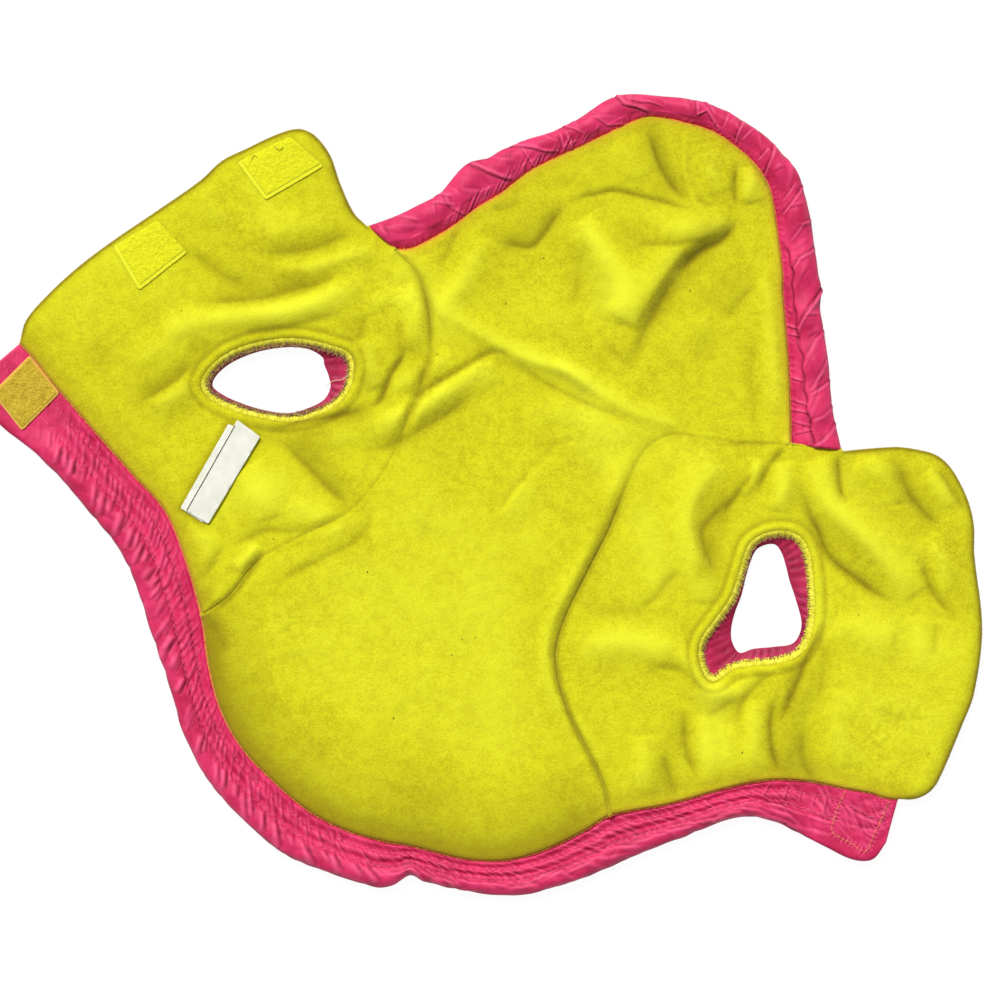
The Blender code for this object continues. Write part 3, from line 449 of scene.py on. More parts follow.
# creases between them: the line, how deep, its reach to the left and right, and how much painted shade lies
# inside
creases = [
    # tail
    ((6, 126, 16, 125, 24, 124, 30, 129, 36, 138, 44, 146), 2.2, 3.4, 3.0, 0.80),
    ((40, 142, 48, 148, 56, 150, 66, 152, 80, 149, 92, 146, 102, 143, 109, 143), 1.6, 1.8, 2.0, 0.75),
    ((82, 185, 86, 172, 90, 162, 96, 153, 104, 144), 2.2, 4.6, 1.8, 0.62),
    ((106, 150, 112, 145, 118, 144), 0.8, 3.0, 3.0, 0.30),
    ((129, 140, 124, 132, 118, 126, 110, 122, 102, 115, 96, 108), 2.4, 3.0, 3.4, 1.00),
    ((100, 112, 91, 100, 87, 92, 82, 84, 77, 72, 72, 62), 1.5, 5.0, 4.0, 0.50),
    ((74, 125, 92, 125, 108, 126, 118, 127), 1.2, 2.6, 2.6, 0.42),
    ((127, 167, 126, 155, 127, 142), 1.4, 2.0, 2.0, 0.50),
    ((55, 131, 49, 118, 48, 105, 44, 88), 1.0, 7.0, 7.0, 0.26),
    ((59, 79, 67, 70, 79, 61), 0.9, 5.0, 4.0, 0.30),
    ((120, 86, 129, 97, 137, 106), 1.1, 4.0, 4.0, 0.34),
    ((137, 84, 134, 60, 136, 45, 133, 26), 0.8, 4.0, 4.0, 0.24),
    ((104, 66, 112, 74, 108, 84), 0.5, 6.0, 6.0, 0.16),
    ((4, 143, 12, 143, 20, 148), 0.8, 2.4, 2.4, 0.40),
    ((-10, 137, -16, 124, -23, 111), 0.9, 3.0, 2.4, 0.36),
    ((40, 152, 46, 158, 48, 163), 0.4, 3.0, 3.0, 0.20),
    # middle
    ((-42, 51, -33, 50, -24, 55, -14, 61, -4, 67, 4, 71, 10, 71, 18, 66), 1.9, 2.2, 2.2, 0.62),
    ((8, 69, 24, 61, 37, 53, 52, 46, 64, 41, 77, 36), 0.8, 1.6, 3.4, 0.30),
    ((-64, 21, -48, 24, -38, 28, -28, 34, -18, 40, -8, 48, 0, 56), 1.7, 5.0, 4.0, 0.42),
    ((4, -13, 12, -3, 20, 7, 28, 16), 0.5, 2.4, 1.6, 0.16),
    ((30, 18, 40, 29), 0.5, 3.0, 3.0, 0.20),
    ((40, 20, 52, 12, 64, 8), 0.6, 6.0, 6.0, 0.18),
    ((-36, -8, -26, -18, -14, -26), 0.5, 7.0, 7.0, 0.14),
    ((-108, -88, -92, -80, -84, -90), 0.4, 7.0, 7.0, 0.12),
    # left chest
    ((-150, 126, -138, 116, -126, 108, -112, 102), 1.2, 4.0, 4.5, 0.42),
    ((-146, 96, -124, 97, -106, 99, -92, 103, -80, 106, -66, 114), 1.9, 3.8, 3.6, 0.50),
    ((-116, 121, -98, 121, -85, 123, -72, 128, -60, 134), 1.4, 4.0, 3.4, 0.42),
    ((-124, 81, -104, 82, -88, 86, -66, 92), 1.0, 3.0, 3.0, 0.32),
    ((-172, 45, -161, 52, -152, 58, -143, 68), 1.9, 4.4, 2.6, 0.52),
    ((-148, 76, -140, 72, -134, 78), 0.8, 6.0, 6.0, 0.30),
    ((-196, 80, -190, 66, -186, 54), 0.6, 8.0, 8.0, 0.20),
    ((-44, 122, -36, 116, -30, 107, -27, 92, -26, 76, -26, 62), 0.6, 2.6, 2.6, 0.36),
    ((-37, 76, -41, 67, -45, 61, -48, 54, -51, 47, -58, 43), 2.3, 2.4, 2.2, 1.00),
    ((-54, 45, -62, 42, -70, 40, -80, 38, -90, 37, -98, 34, -107, 30), 2.2, 3.2, 2.8, 0.95),
    ((-102, 29, -92, 19, -83, 10, -76, 3, -70, -2, -63, -9), 1.9, 5.0, 3.0, 0.62),
    ((-98, 28, -86, 22, -78, 12), 0.6, 7.0, 7.0, 0.30),
    ((-57, 92, -60, 82, -63, 74), 0.8, 3.0, 3.0, 0.30),
    ((-40, 88, -41, 78, -38, 70), 0.8, 3.0, 3.0, 0.30),
    ((-127, -27, -118, -22, -108, -18, -98, -18, -84, -18), 0.9, 3.0, 3.0, 0.34),
    ((-140, -61, -132, -57, -124, -50, -118, -42, -113, -36, -108, -27), 1.6, 2.2, 2.0, 0.85),
    ((-113, -46, -100, -43, -90, -37, -80, -32, -70, -27, -60, -20, -56, -12, -55, 2),
     1.0, 3.4, 3.4, 0.36),
    ((-127, -24, -134, -33, -140, -44), 0.8, 2.6, 2.6, 0.36),
    ((-137, -60, -131, -70, -127, -82), 0.8, 5.0, 5.0, 0.62),
    # right chest
    ((128, 0, 117, -9, 110, -18, 112, -29, 118, -44), 1.6, 5.0, 2.6, 0.52),
    ((137, 14, 130, 4, 125, -3, 119, -11), 1.6, 2.2, 2.0, 0.60),
    ((154, 25, 146, 18, 141, 10, 137, 0), 1.6, 2.2, 2.2, 0.60),
    ((101, -36, 92, -44, 86, -52, 76, -57), 1.0, 3.2, 3.2, 0.36),
    ((50, -60, 68, -58, 88, -59), 0.6, 5.0, 5.0, 0.22),
    ((80, -88, 92, -86, 100, -88, 107, -95, 114, -102), 1.3, 3.4, 3.6, 0.42),
    ((101, -106, 101, -120, 103, -131, 108, -143), 1.7, 4.4, 3.0, 0.55),
    ((90, -128, 94, -142, 97, -152), 1.4, 3.6, 3.6, 0.50),
    ((110, -113, 120, -106, 130, -101), 1.0, 3.6, 3.6, 0.36),
    ((148, -87, 136, -96, 129, -106, 127, -116), 1.3, 3.2, 3.2, 0.42),
    ((160, 6, 163, -8, 168, -18, 172, -28, 178, -35, 186, -41, 194, -47, 202, -52, 211, -57),
     2.4, 2.6, 3.6, 0.88),
    ((177, 23, 178, 12, 179, 2, 183, -6), 1.8, 2.4, 2.8, 0.85),
    ((206, 20, 210, 8, 214, 0, 220, -8, 226, -13, 234, -15), 1.9, 3.4, 3.8, 0.66),
    ((226, 16, 233, 5, 238, -3, 243, -12), 1.2, 2.8, 2.8, 0.52),
    ((218, -28, 222, -42, 226, -50, 232, -57, 240, -62), 1.7, 3.6, 2.6, 0.55),
    ((170, -60, 167, -72, 162, -82, 158, -92, 154, -101, 150, -110, 146, -118), 2.1, 3.0, 2.6, 0.90),
    ((168, -64, 170, -80, 169, -95, 166, -112), 0.8, 6.0, 5.0, 0.40),
    ((148, -97, 144, -111, 144, -122, 146, -132, 151, -142), 1.9, 3.4, 2.6, 0.85),
    ((160, -116, 160, -131, 164, -140, 170, -148), 1.3, 4.6, 3.6, 0.60),
    ((223, -59, 232, -61, 241, -63), 0.5, 2.0, 2.0, 0.26),
    ((226, -62, 226, -72, 226, -82), 0.4, 2.4, 2.4, 0.26),
    ((196, -106, 208, -112, 222, -110), 0.5, 6.0, 6.0, 0.18),
    ((114, 24, 130, 25, 150, 25), 0.6, 1.6, 1.6, 0.30),
]

cloth = {
    "seamGap": 0.36, "layerGap": 0.3, "pad": 5.4, "padAtSeam": 2.2, "padAtLeast": 1.8, "fleece": 1.8,
    "foldStays": 1.5, "foldLifts": 0.85, "foldFade": 5.0,
    "reach": {"neckline": 20.0, "seam": 7.0, "hem": 9.0, "edge": 9.0, "hole": 8.0},
}
print("plan ready")


def softStep(t):
    t = np.clip(t, 0.0, 1.0)
    return t * t * (3.0 - 2.0 * t)


def bell(x, width=1.0):
    return np.exp(-((x / width) ** 2))


def darker(dark, more):
    return 1 - (1 - dark) * (1 - np.clip(more, 0, 1))


def lengthAlong(path):
    return np.concatenate([[0.0], np.cumsum(np.linalg.norm(np.diff(path, axis=0), axis=1))])


def leftOf(path):
    run = np.gradient(path, axis=0)
    return np.stack([-run[:, 1], run[:, 0]], axis=1) / np.linalg.norm(run, axis=1)[:, None]


def curveThrough(rows, step, closed=False):
    rows = np.array(rows, float)
    count = len(rows)
    spans = count if closed else count - 1
    points, places = [], []
    for i in range(spans):
        before = rows[(i - 1) % count] if closed or i > 0 else 2 * rows[0] - rows[1]
        start, end = rows[i], rows[(i + 1) % count]
        after = rows[(i + 2) % count] if closed or i + 2 < count else 2 * rows[-1] - rows[-2]
        chord = np.linalg.norm(end[:2] - start[:2])
        runs = max(1, round(chord / step))
        reachIn = chord / max(chord + np.linalg.norm(start[:2] - before[:2]), 1e-6)
        reachOut = chord / max(chord + np.linalg.norm(after[:2] - end[:2]), 1e-6)
        slopeIn = (end - before) * reachIn
        slopeOut = (after - start) * reachOut
        places.append(len(points))
        for k in range(runs):
            t = k / runs
            points.append((2 * t**3 - 3 * t**2 + 1) * start + (t**3 - 2 * t**2 + t) * slopeIn
                          + (3 * t**2 - 2 * t**3) * end + (t**3 - t**2) * slopeOut)
    if not closed:
        places.append(len(points))
        points.append(rows[-1])
    return np.array(points), places


def areaOf(loop):
    x, y = loop[:, 0], loop[:, 1]
    return 0.5 * float(np.sum(x * np.roll(y, -1) - np.roll(x, -1) * y))


def movedIn(loop, distance):
    # towards the left-hand side: into the cloth for an outline, and for a hole that runs clockwise
    ahead = np.roll(loop, -1, axis=0) - loop
    ahead /= np.linalg.norm(ahead, axis=1)[:, None]
    left = np.stack([-ahead[:, 1], ahead[:, 0]], axis=1)
    corner = left + np.roll(left, 1, axis=0)
    corner /= np.maximum(np.sum(corner * left, axis=1), 0.5)[:, None]
    return loop + corner * distance


def evenLoop(loop, step):
    # the same loop with points at equal distances
    closedLoop = np.concatenate([loop, loop[:1]])
    before = lengthAlong(closedLoop)
    count = max(8, round(before[-1] / step))
    at = np.arange(count) * before[-1] / count
    return np.stack([np.interp(at, before, closedLoop[:, k]) for k in (0, 1)], axis=1)


def roundedLoop(corners, radius, step):
    corners = np.array(corners, float)
    points = []
    for before, corner, after in zip(np.roll(corners, 1, axis=0), corners, np.roll(corners, -1, axis=0)):
        start = corner + (before - corner) * radius / np.linalg.norm(before - corner)
        end = corner + (after - corner) * radius / np.linalg.norm(after - corner)
        for t in np.linspace(0.0, 1.0, 6):
            points.append((1 - t) ** 2 * start + 2 * t * (1 - t) * corner + t * t * end)
    loop = np.array(points)
    loop = loop if areaOf(loop) > 0 else loop[::-1]
    return evenLoop(loop, step)


def distanceTo(points, path, closed, reach):
    # exact up to reach, and reach beyond it
    ends = np.roll(path, -1, axis=0) if closed else path[1:]
    starts = path if closed else path[:-1]
    nearest = np.full(len(points), reach, float)
    for first in range(0, len(starts), 16):
        a, b = starts[first:first + 16], ends[first:first + 16]
        low = np.minimum(a, b).min(axis=0) - reach
        high = np.maximum(a, b).max(axis=0) + reach
        near = np.flatnonzero(np.all((points > low) & (points < high), axis=1))
        if len(near) == 0:
            continue
        away = points[near, None, :] - a[None]
        run = b - a
        t = np.clip(np.sum(away * run, axis=2) / np.maximum(np.sum(run * run, axis=1), 1e-9), 0.0, 1.0)
        distance = np.linalg.norm(away - t[:, :, None] * run, axis=2).min(axis=1)
        nearest[near] = np.minimum(nearest[near], distance)
    return nearest


def insideLoop(points, loop):
    x, y = points[:, 0], points[:, 1]
    result = np.zeros(len(points), bool)
    for (x0, y0), (x1, y1) in zip(loop, np.roll(loop, -1, axis=0)):
        if y0 != y1:
            rows = np.flatnonzero((y0 > y) != (y1 > y))
            result[rows] ^= x[rows] < (x1 - x0) * (y[rows] - y0) / (y1 - y0) + x0
    return result


def softNoise(points, size, seed):
    # smooth random values from -1 to 1 with features of about that size
    table = np.random.default_rng(seed).uniform(-1.0, 1.0, (128, 128))
    turn = np.array([[0.8, -0.6], [0.6, 0.8]]) if seed % 2 else np.eye(2)
    grid = points @ turn / size + seed * 0.37
    cell = np.floor(grid).astype(int)
    part = softStep(grid - cell)
    x0, y0 = cell[..., 0] % 128, cell[..., 1] % 128
    x1, y1 = (x0 + 1) % 128, (y0 + 1) % 128
    low = table[x0, y0] * (1 - part[..., 0]) + table[x1, y0] * part[..., 0]
    high = table[x0, y1] * (1 - part[..., 0]) + table[x1, y1] * part[..., 0]
    return low * (1 - part[..., 1]) + high * part[..., 1]


def besideLine(points, line, margin):
    # the points near a line, their distances to the left of it, and how far along it each lies, 0 to 1
    path = curveThrough(np.reshape(line, (-1, 2)), 2.5)[0]
    close = (points > path.min(axis=0) - margin) & (points < path.max(axis=0) + margin)
    near = np.flatnonzero(np.all(close, axis=1))
    if len(near) == 0:
        return near, None, None
    run = np.diff(path, axis=0)
    lengths, before = np.linalg.norm(run, axis=1), lengthAlong(path)
    away = points[near, None, :] - path[None, :-1]
    share = np.clip(np.sum(away * run, axis=2) / lengths**2, 0.0, 1.0)
    distance = np.linalg.norm(away - share[:, :, None] * run, axis=2)
    best = distance.argmin(axis=1)
    rows = np.arange(len(near))
    along = (before[best] + share[rows, best] * lengths[best]) / before[-1]
    side = run[best, 0] * away[rows, best, 1] - run[best, 1] * away[rows, best, 0]
    return near, distance[rows, best] * np.where(side > 0, 1.0, -1.0), along


def ridgeField(points):
    total = np.zeros(len(points))
    for line, height, left, right in ridges:
        near, d, along = besideLine(points, line, 3.0 * max(left, right))
        if len(near) == 0:
            continue
        fade = np.clip(4 * along * (1 - along), 0.0, 1.0) ** 0.6
        total[near] += height * fade * bell(d, np.where(d > 0, left, right))
    return total


def creaseField(points):
    # depth of the creases, and the painted shade in them
    total, dark = np.zeros(len(points)), np.zeros(len(points))
    for line, depth, left, right, shade in creases:
        near, d, along = besideLine(points, line, 4.5 * max(left, right))
        if len(near) == 0:
            continue
        fade = softStep(np.minimum(along, 1 - along) / 0.30)
        spread = np.abs(d) / np.where(d > 0, left, right)
        total[near] += 0.8 * depth * fade * (0.55 * np.exp(-(spread**2)) + 0.45 * np.exp(-2.0 * spread))
        painted = 0.7 * shade * fade * (0.35 * np.exp(-((spread / 0.6) ** 2)) + 0.65 * np.exp(-1.15 * spread))
        dark[near] = darker(dark[near], painted)
    return total, dark


def padHeights(points, panel):
    # underside and top of the padded shell
    share = np.ones(len(points))
    nearest = np.full(len(points), 60.0)
    for kind, path, closed in panel["edges"]:
        reach = cloth["reach"][kind]
        distance = distanceTo(points, path, closed, max(reach, cloth["foldFade"]) + 1.0)
        t = 1.0 - np.clip(distance / reach, 0.0, 1.0)
        share = np.minimum(share, np.sqrt(np.clip(1.0 - t * t, 0.0, 1.0)))
        nearest = np.minimum(nearest, distance)
    folds = ridgeField(points) * softStep(nearest / cloth["foldFade"])
    lift = np.maximum(folds - cloth["foldStays"], 0.0) * cloth["foldLifts"]
    pad = cloth["padAtSeam"] + (cloth["pad"] - cloth["padAtSeam"]) * share + np.minimum(folds, folds - lift)
    low, high = lift, lift + np.maximum(pad, cloth["padAtLeast"])
    high = np.maximum(high - creaseField(points)[0], low + cloth["padAtLeast"])
    for loop in panel["recesses"]:
        over = insideLoop(points, loop)
        low = np.where(over, 1.8, low)
        high = np.maximum(high, low + cloth["padAtLeast"])
    return low, high


# relief of the fleece on the padding
fleeceShape = {
    "topSpacing": 1.2, "lowSpacing": 4.5, "rim": 0.9,
    "waves": (26.0, 0.34), "lumps": (9.0, 0.13), "tufts": (2.8, 0.07),   # size and height
    "pills": (3.0, 0.26),                  # rubbed, curly patches
    "seamFill": (1.5, 3.4), "seamLevel": 0.78,   # turned-in cloth fills the groove along a seam
    "holeGroove": (0.40, 6.5, 1.2), "holeRoll": (0.9, 2.6, 2.0),   # height, place beside the hole, width
    "foldRounds": 170, "foldScale": 2.4,   # how wide and how strongly folds look lit and shaded
}
# how much painted shade lies beside each kind of edge, and how far that reaches
edgeShade = {
    "edge": (0.46, 2.3), "edgeLine": (0.46, 1.25), "neckline": (0.44, 5.5), "underNeck": (0.48, 9.5),
    "hem": (0.24, 3.6), "hole": (0.30, 1.2), "seam": (0.08, 2.0), "rightSeam": 1.7,
    "blush": (0.42, 1.2), "farBlush": (0.13, 4.5),
}


pilledPatches = [   # x, y, size
    (118, 162, 17), (-28, 47, 20), (4, 62, 12), (-46, 95, 17), (58, 32, 18), (208, -122, 26),
    (140, 150, 10), (-196, 92, 18), (-120, 128, 16), (-60, 118, 14), (112, 16, 12), (86, 150, 14),
    (226, -30, 14), (-128, 62, 10), (150, -104, 14), (96, -130, 12), (-96, -64, 14),
]


def pilling(points):
    # where the pile is rubbed into small curls, 0 to 1
    rubbed = np.zeros(len(points))
    for x, y, size in pilledPatches:
        away = ((points[:, 0] - x) ** 2 + (points[:, 1] - y) ** 2) / size**2
        rubbed = np.maximum(rubbed, np.exp(-away * away))
    return rubbed * softStep(0.8 + 0.6 * softNoise(points, 11.0, 91))


def curls(points):
    billow = np.abs(softNoise(points, fleeceShape["pills"][0], 25) + 0.5 * softNoise(points, 1.9, 26))
    return np.clip(3.2 * billow, 0, 1) - 0.6


def fleeceTop(points, panel, fine=True):
    shape = fleeceShape
    _, high = padHeights(points, panel)
    top = high + cloth["layerGap"] + cloth["fleece"]
    for kind, path, closed in panel["edges"]:
        distance = distanceTo(points, path, closed, 12.0)
        if kind in ("neckline", "hem"):
            height, width = shape["seamFill"]
            top += height * bell(distance, width) * (distance < 11.9)
        if kind == "seam":
            t = 1.0 - np.clip(distance / cloth["reach"]["seam"], 0.0, 1.0)
            flat = 1.0 - np.sqrt(np.clip(1.0 - t * t, 0.0, 1.0))
            top += shape["seamLevel"] * (cloth["pad"] - cloth["padAtSeam"]) * flat
        if kind == "hole":
            for key, sign in (("holeGroove", -1), ("holeRoll", 1)):
                height, at, width = shape[key]
                top += sign * height * bell(distance - at, width)
    for seed, (size, height) in enumerate((shape["waves"], shape["lumps"])):
        top += height * softNoise(points, size, 11 + seed)
    if fine:
        top += shape["pills"][1] * curls(points) * pilling(points)
        top += shape["tufts"][1] * softNoise(points, shape["tufts"][0], 23)
    return top


# painted shade along the right seam, strong over its lower part and faint near the tail hem
def rightSeamShade(points):
    return 0.04 + 0.56 * softStep((14.0 - points[:, 1]) / 22.0)


def fleeceShade(points, panel):
    # painted shade in creases, round the free edges and towards the neck
    shade = edgeShade
    dark = creaseField(points)[1]
    for kind, path, closed in panel["edges"]:
        distance = distanceTo(points, path, closed, 30.0)
        amount, reach = shade[kind]
        if kind == "edge":
            rim = amount * np.exp(-((distance / reach) ** 1.15))
            lineAmount, lineReach = shade["edgeLine"]
            rim = rim + lineAmount * bell(distance, lineReach)
        elif kind == "neckline":
            # widest round the bottom of the neck, narrower along the two flaps
            low = softStep((-30.0 - points[:, 1]) / 50.0) * softStep((72.0 - points[:, 0]) / 30.0)
            moreAmount, moreReach = shade["underNeck"]
            amount, reach = amount + moreAmount * low, reach + moreReach * low
            rim = amount * np.exp(-((distance / reach) ** 1.1)) * (distance < 29.9)
        elif kind == "hem":
            rim = amount * np.exp(-distance / reach) * softStep((points[:, 1] - 116.0) / 26.0)
        elif kind == "hole":
            rim = amount * bell(distance - fleeceShape["holeGroove"][1], reach)
        else:
            rim = amount * bell(distance, reach)
        dark = darker(dark, rim)
    seam = bell(distanceTo(points, rightSeam, False, 9.0), shade["rightSeam"])
    dark = darker(dark, rightSeamShade(points) * seam)
    for corners, share, reach in panel.get("under", ()):   # painted shadow beside what lies on the fleece
        dark = darker(dark, share * bell(distanceTo(points, np.array(corners, float), True, 6.0), reach))
    return dark


def blushOf(points, panel):
    glow = np.zeros(len(points))
    for kind, path, closed in panel["edges"]:
        if kind in ("neckline", "hem"):
            distance = distanceTo(points, path, closed, 16.0)
            glows = [edgeShade["blush"], edgeShade["farBlush"]]
            glow = np.maximum(glow, sum(share * np.exp(-distance / reach) for share, reach in glows))
    return glow


def fillBetween(loops, spacing, seed):
    # triangles between an outline and its holes, on points of about that spacing
    random = np.random.default_rng(seed)
    low, high = loops[0].min(axis=0), loops[0].max(axis=0)
    rows = []
    for j, y in enumerate(np.arange(low[1], high[1], spacing * 0.866)):
        x = np.arange(low[0] + (j % 2) * spacing / 2, high[0], spacing)
        rows.append(np.stack([x, np.full(len(x), y)], axis=1))
    free = np.concatenate(rows)
    free += random.uniform(-0.16, 0.16, free.shape) * spacing
    keep = insideLoop(free, loops[0])
    for loop in loops[1:]:
        keep &= ~insideLoop(free, loop)
    free = free[keep]
    for loop in loops:
        free = free[distanceTo(free, loop, True, spacing) > spacing * 0.55]
    points = np.concatenate(loops + [free])
    edges, first = [], 0
    for loop in loops:
        edges += [(first + k, first + (k + 1) % len(loop)) for k in range(len(loop))]
        first += len(loop)
    coords, _, faces, *_ = delaunay_2d_cdt([Vector(p) for p in points], edges, [], 0, 1e-7)
    coords, faces = np.array([tuple(c) for c in coords]), np.array([tuple(f) for f in faces])
    middles = coords[faces].mean(axis=1)
    keep = insideLoop(middles, loops[0])
    for loop in loops[1:]:
        keep &= ~insideLoop(middles, loop)
    return coords, faces[keep]


def bothSides(loops, topSpacing, lowSpacing, seed):
    return (*fillBetween(loops, topSpacing, seed), *fillBetween(loops, lowSpacing, seed + 1))


def hollowness(faces, heights, rounds, scale):
    # how far a point lies below the cloth around it, and above it where that is less than 0
    ends = np.concatenate([faces[:, [0, 1]], faces[:, [1, 2]], faces[:, [2, 0]]])
    ends = np.concatenate([ends, ends[:, ::-1]])
    count = np.bincount(ends[:, 0], minlength=len(heights))
    smooth = heights.copy()
    for _ in range(rounds):
        around = np.bincount(ends[:, 0], smooth[ends[:, 1]], len(heights))
        smooth = 0.5 * smooth + 0.5 * around / np.maximum(count, 1)
    return np.clip((smooth - heights) / scale, -1.0, 1.0)


collection = bpy.data.collections.new("dressed coat")
bpy.context.scene.collection.children.link(collection)


def newObject(name, points, edges, faces, values=None):
    mesh = bpy.data.meshes.new(name)
    mesh.from_pydata((np.asarray(points) * mm).tolist(), edges, faces)
    for key, numbers in (values or {}).items():
        layer = mesh.attributes.new(key, "FLOAT", "POINT")
        layer.data.foreach_set("value", np.asarray(numbers, np.float32))
    made = bpy.data.objects.new(name, mesh)
    collection.objects.link(made)
    return made


def newPiece(name, points, faces, material, values=None):
    piece = newObject(name, points, [], [tuple(int(v) for v in f) for f in faces], values)
    piece.data.shade_smooth()
    piece.data.materials.append(material)
    print(name, len(faces), "faces")
    return piece


def layeredWall(name, loops, sides, topZ, lowZ, material, rim, extra):
    # a closed layer between two sides, whose points start with the loops moved in by the rim
    topPoints, topFaces, lowPoints, lowFaces = sides
    verts = [np.column_stack([topPoints, topZ]), np.column_stack([lowPoints, lowZ])]
    faces = [tuple(f) for f in topFaces] + [tuple(f[::-1]) for f in lowFaces + len(topPoints)]
    first, used = 0, len(topPoints) + len(lowPoints)
    rimSource = []
    for loop in loops:
        own = np.arange(first, first + len(loop))
        rows = [own]
        for turn in np.linspace(math.pi / 2, -math.pi / 2, 7)[1:-1]:
            plan = movedIn(loop, rim * (1 - math.cos(turn)))
            high, deep = topZ[own], lowZ[own]
            verts.append(np.column_stack([plan, (high + deep) / 2 + (high - deep) / 2 * math.sin(turn)]))
            rimSource.append(own)
            rows.append(np.arange(used, used + len(loop)))
            used += len(loop)
        rows.append(own + len(topPoints))
        for upper, lower in zip(rows[:-1], rows[1:]):
            faces += list(zip(lower, np.roll(lower, -1), np.roll(upper, -1), upper))
        first += len(loop)
    values = {key: np.concatenate([numbers, np.zeros(len(lowPoints))] + [numbers[own] for own in rimSource])
              for key, numbers in extra.items()}
    return newPiece(name, np.concatenate(verts), faces, material, values)


# panels, from the same seams as the source
outlineStep = 1.3
collarFine, collarPlaces = curveThrough(collarRows, outlineStep)
hemFine, _ = curveThrough(hemRows, outlineStep)
leftHole = curveThrough(leftCuffRows, outlineStep, closed=True)[0][:, :2]
rightHole = curveThrough(rightCuffRows, outlineStep, closed=True)[0][:, :2]
leftSeam, rightSeam = curveThrough(leftSeamRows, outlineStep)[0], curveThrough(rightSeamRows, outlineStep)[0]
leftFlap, rightFlap = curveThrough(leftFlapRows, outlineStep)[0], curveThrough(rightFlapRows, outlineStep)[0]
neckline, hemSeam = collarFine[:, :2], hemFine[:, :2]
atLeft, atRight = (collarPlaces[k] for k in seamsAtNeckline)


def straight(start, end):
    count = max(2, round(float(np.linalg.norm(np.subtract(end, start))) / outlineStep) + 1)
    return np.linspace(start, end, count)


leftHemEnd = straight(hemSeam[0], hemFine[0, 2:])
rightHemEnd = straight(hemFine[-1, 2:], hemSeam[-1])


def makePanel(stretches, hole=None, recesses=()):
    outline = evenLoop(np.concatenate([path[:-1] for _, path in stretches]), outlineStep)
    edges = [(kind, path, False) for kind, path in stretches]
    raw = [outline]
    if hole is not None:
        clockwise = hole if areaOf(hole) < 0 else hole[::-1]
        raw.append(evenLoop(clockwise, outlineStep))
        edges.append(("hole", hole, True))
    return {"loops": [movedIn(loop, cloth["seamGap"] / 2) for loop in raw],
            "fleeceLoops": [movedIn(loop, 0.02) for loop in raw], "edges": edges, "recesses": list(recesses)}


hookRoom = [movedIn(roundedLoop(tapeCorners[k], 2.5, 2.0), -1.2) for k in ("flapHookBelly", "flapHookNeck")]
panels = {
    "back": makePanel([("neckline", neckline[atLeft:atRight + 1]), ("seam", rightSeam),
                       ("hem", hemSeam[::-1]), ("seam", leftSeam[::-1])]),
    "leftChest": makePanel([("neckline", neckline[:atLeft + 1]), ("seam", leftSeam), ("seam", leftHemEnd),
                            ("edge", leftFlap[::-1])], hole=leftHole),
    "rightChest": makePanel([("neckline", neckline[atRight:]), ("edge", rightFlap), ("seam", rightHemEnd),
                             ("seam", rightSeam[::-1])], hole=rightHole, recesses=hookRoom),
}


# where the pile catches the light (above 0) or is turned away from it
tonePatches = [   # along a line from x, y to x, y: size and amount
    (-178, 122, -166, 112, 14, 0.42), (-112, 158, -106, 142, 12, 0.38), (-206, 96, -150, 84, 16, 0.14),
    (-148, 98, -150, 70, 10, 0.12), (-100, 92, -72, 96, 7, 0.30), (-36, 112, -18, 88, 11, 0.45),
    (52, 132, 64, 98, 9, 0.45), (76, 108, 60, 92, 8, 0.25), (22, 70, 54, 52, 6, 0.28),
    (56, 38, 66, 18, 14, 0.42), (86, 32, 100, 20, 12, 0.25), (0, 106, 14, 96, 12, 0.16),
    (28, 96, 36, 86, 12, 0.14), (-128, -2, -104, 6, 9, 0.42), (-96, -4, -72, -10, 11, 0.26),
    (-34, -10, -6, -24, 16, 0.26), (-60, -44, -20, -62, 22, 0.30), (-78, -84, -20, -112, 26, 0.24),
    (4, -50, 12, -126, 16, 0.28), (20, 0, 24, -24, 12, 0.20), (82, -14, 88, -40, 9, 0.50),
    (62, -74, 86, -72, 8, 0.34), (116, -104, 118, -128, 8, 0.52), (164, -52, 168, -66, 8, 0.48),
    (196, -62, 226, -78, 13, 0.38), (190, -100, 216, -112, 16, 0.22), (182, 8, 214, -30, 6, 0.30),
    (138, 176, 146, 158, 7, 0.20), (148, 130, 148, 60, 7, 0.12), (-116, 32, -62, 40, 7, -0.55),
    (-132, 18, -142, 4, 6, -0.50), (-84, 24, -68, -2, 8, -0.42), (-170, 52, -146, 66, 7, -0.34),
    (-66, 84, -58, 60, 6, -0.36), (-120, 108, -94, 106, 7, -0.36), (-118, 126, -80, 124, 5, -0.20),
    (12, 126, 30, 136, 7, -0.34), (84, 182, 94, 154, 6, -0.48), (112, 132, 84, 92, 7, -0.45),
    (128, 108, 112, 98, 7, -0.30), (-8, 44, -28, 36, 6, -0.22), (-36, 74, -30, 60, 7, -0.30),
    (60, -4, 52, -52, 6, -0.24), (120, -4, 112, -36, 6, -0.50), (166, -14, 196, -44, 5, -0.30),
    (132, 6, 120, -8, 6, -0.25), (158, -84, 152, -134, 8, -0.55), (96, -118, 88, -142, 6, -0.36),
    (206, 14, 220, -8, 7, -0.36), (234, -18, 240, -56, 6, -0.26), (-56, -24, -86, -20, 8, -0.14),
    (24, -40, 36, -60, 9, -0.12), (-20, 20, -40, 24, 8, -0.14), (-100, -46, -122, -54, 6, -0.16),
    (-222, 66, -80, 156, 40, -0.13), (16, 132, 112, 166, 38, -0.18), (-112, -104, -30, -146, 18, -0.26),
    (-30, -150, 40, -146, 16, -0.20), (110, 70, 128, 110, 20, -0.10), (196, -20, 214, 8, 22, -0.10),
    (-120, 60, -186, 30, 16, -0.14),
]


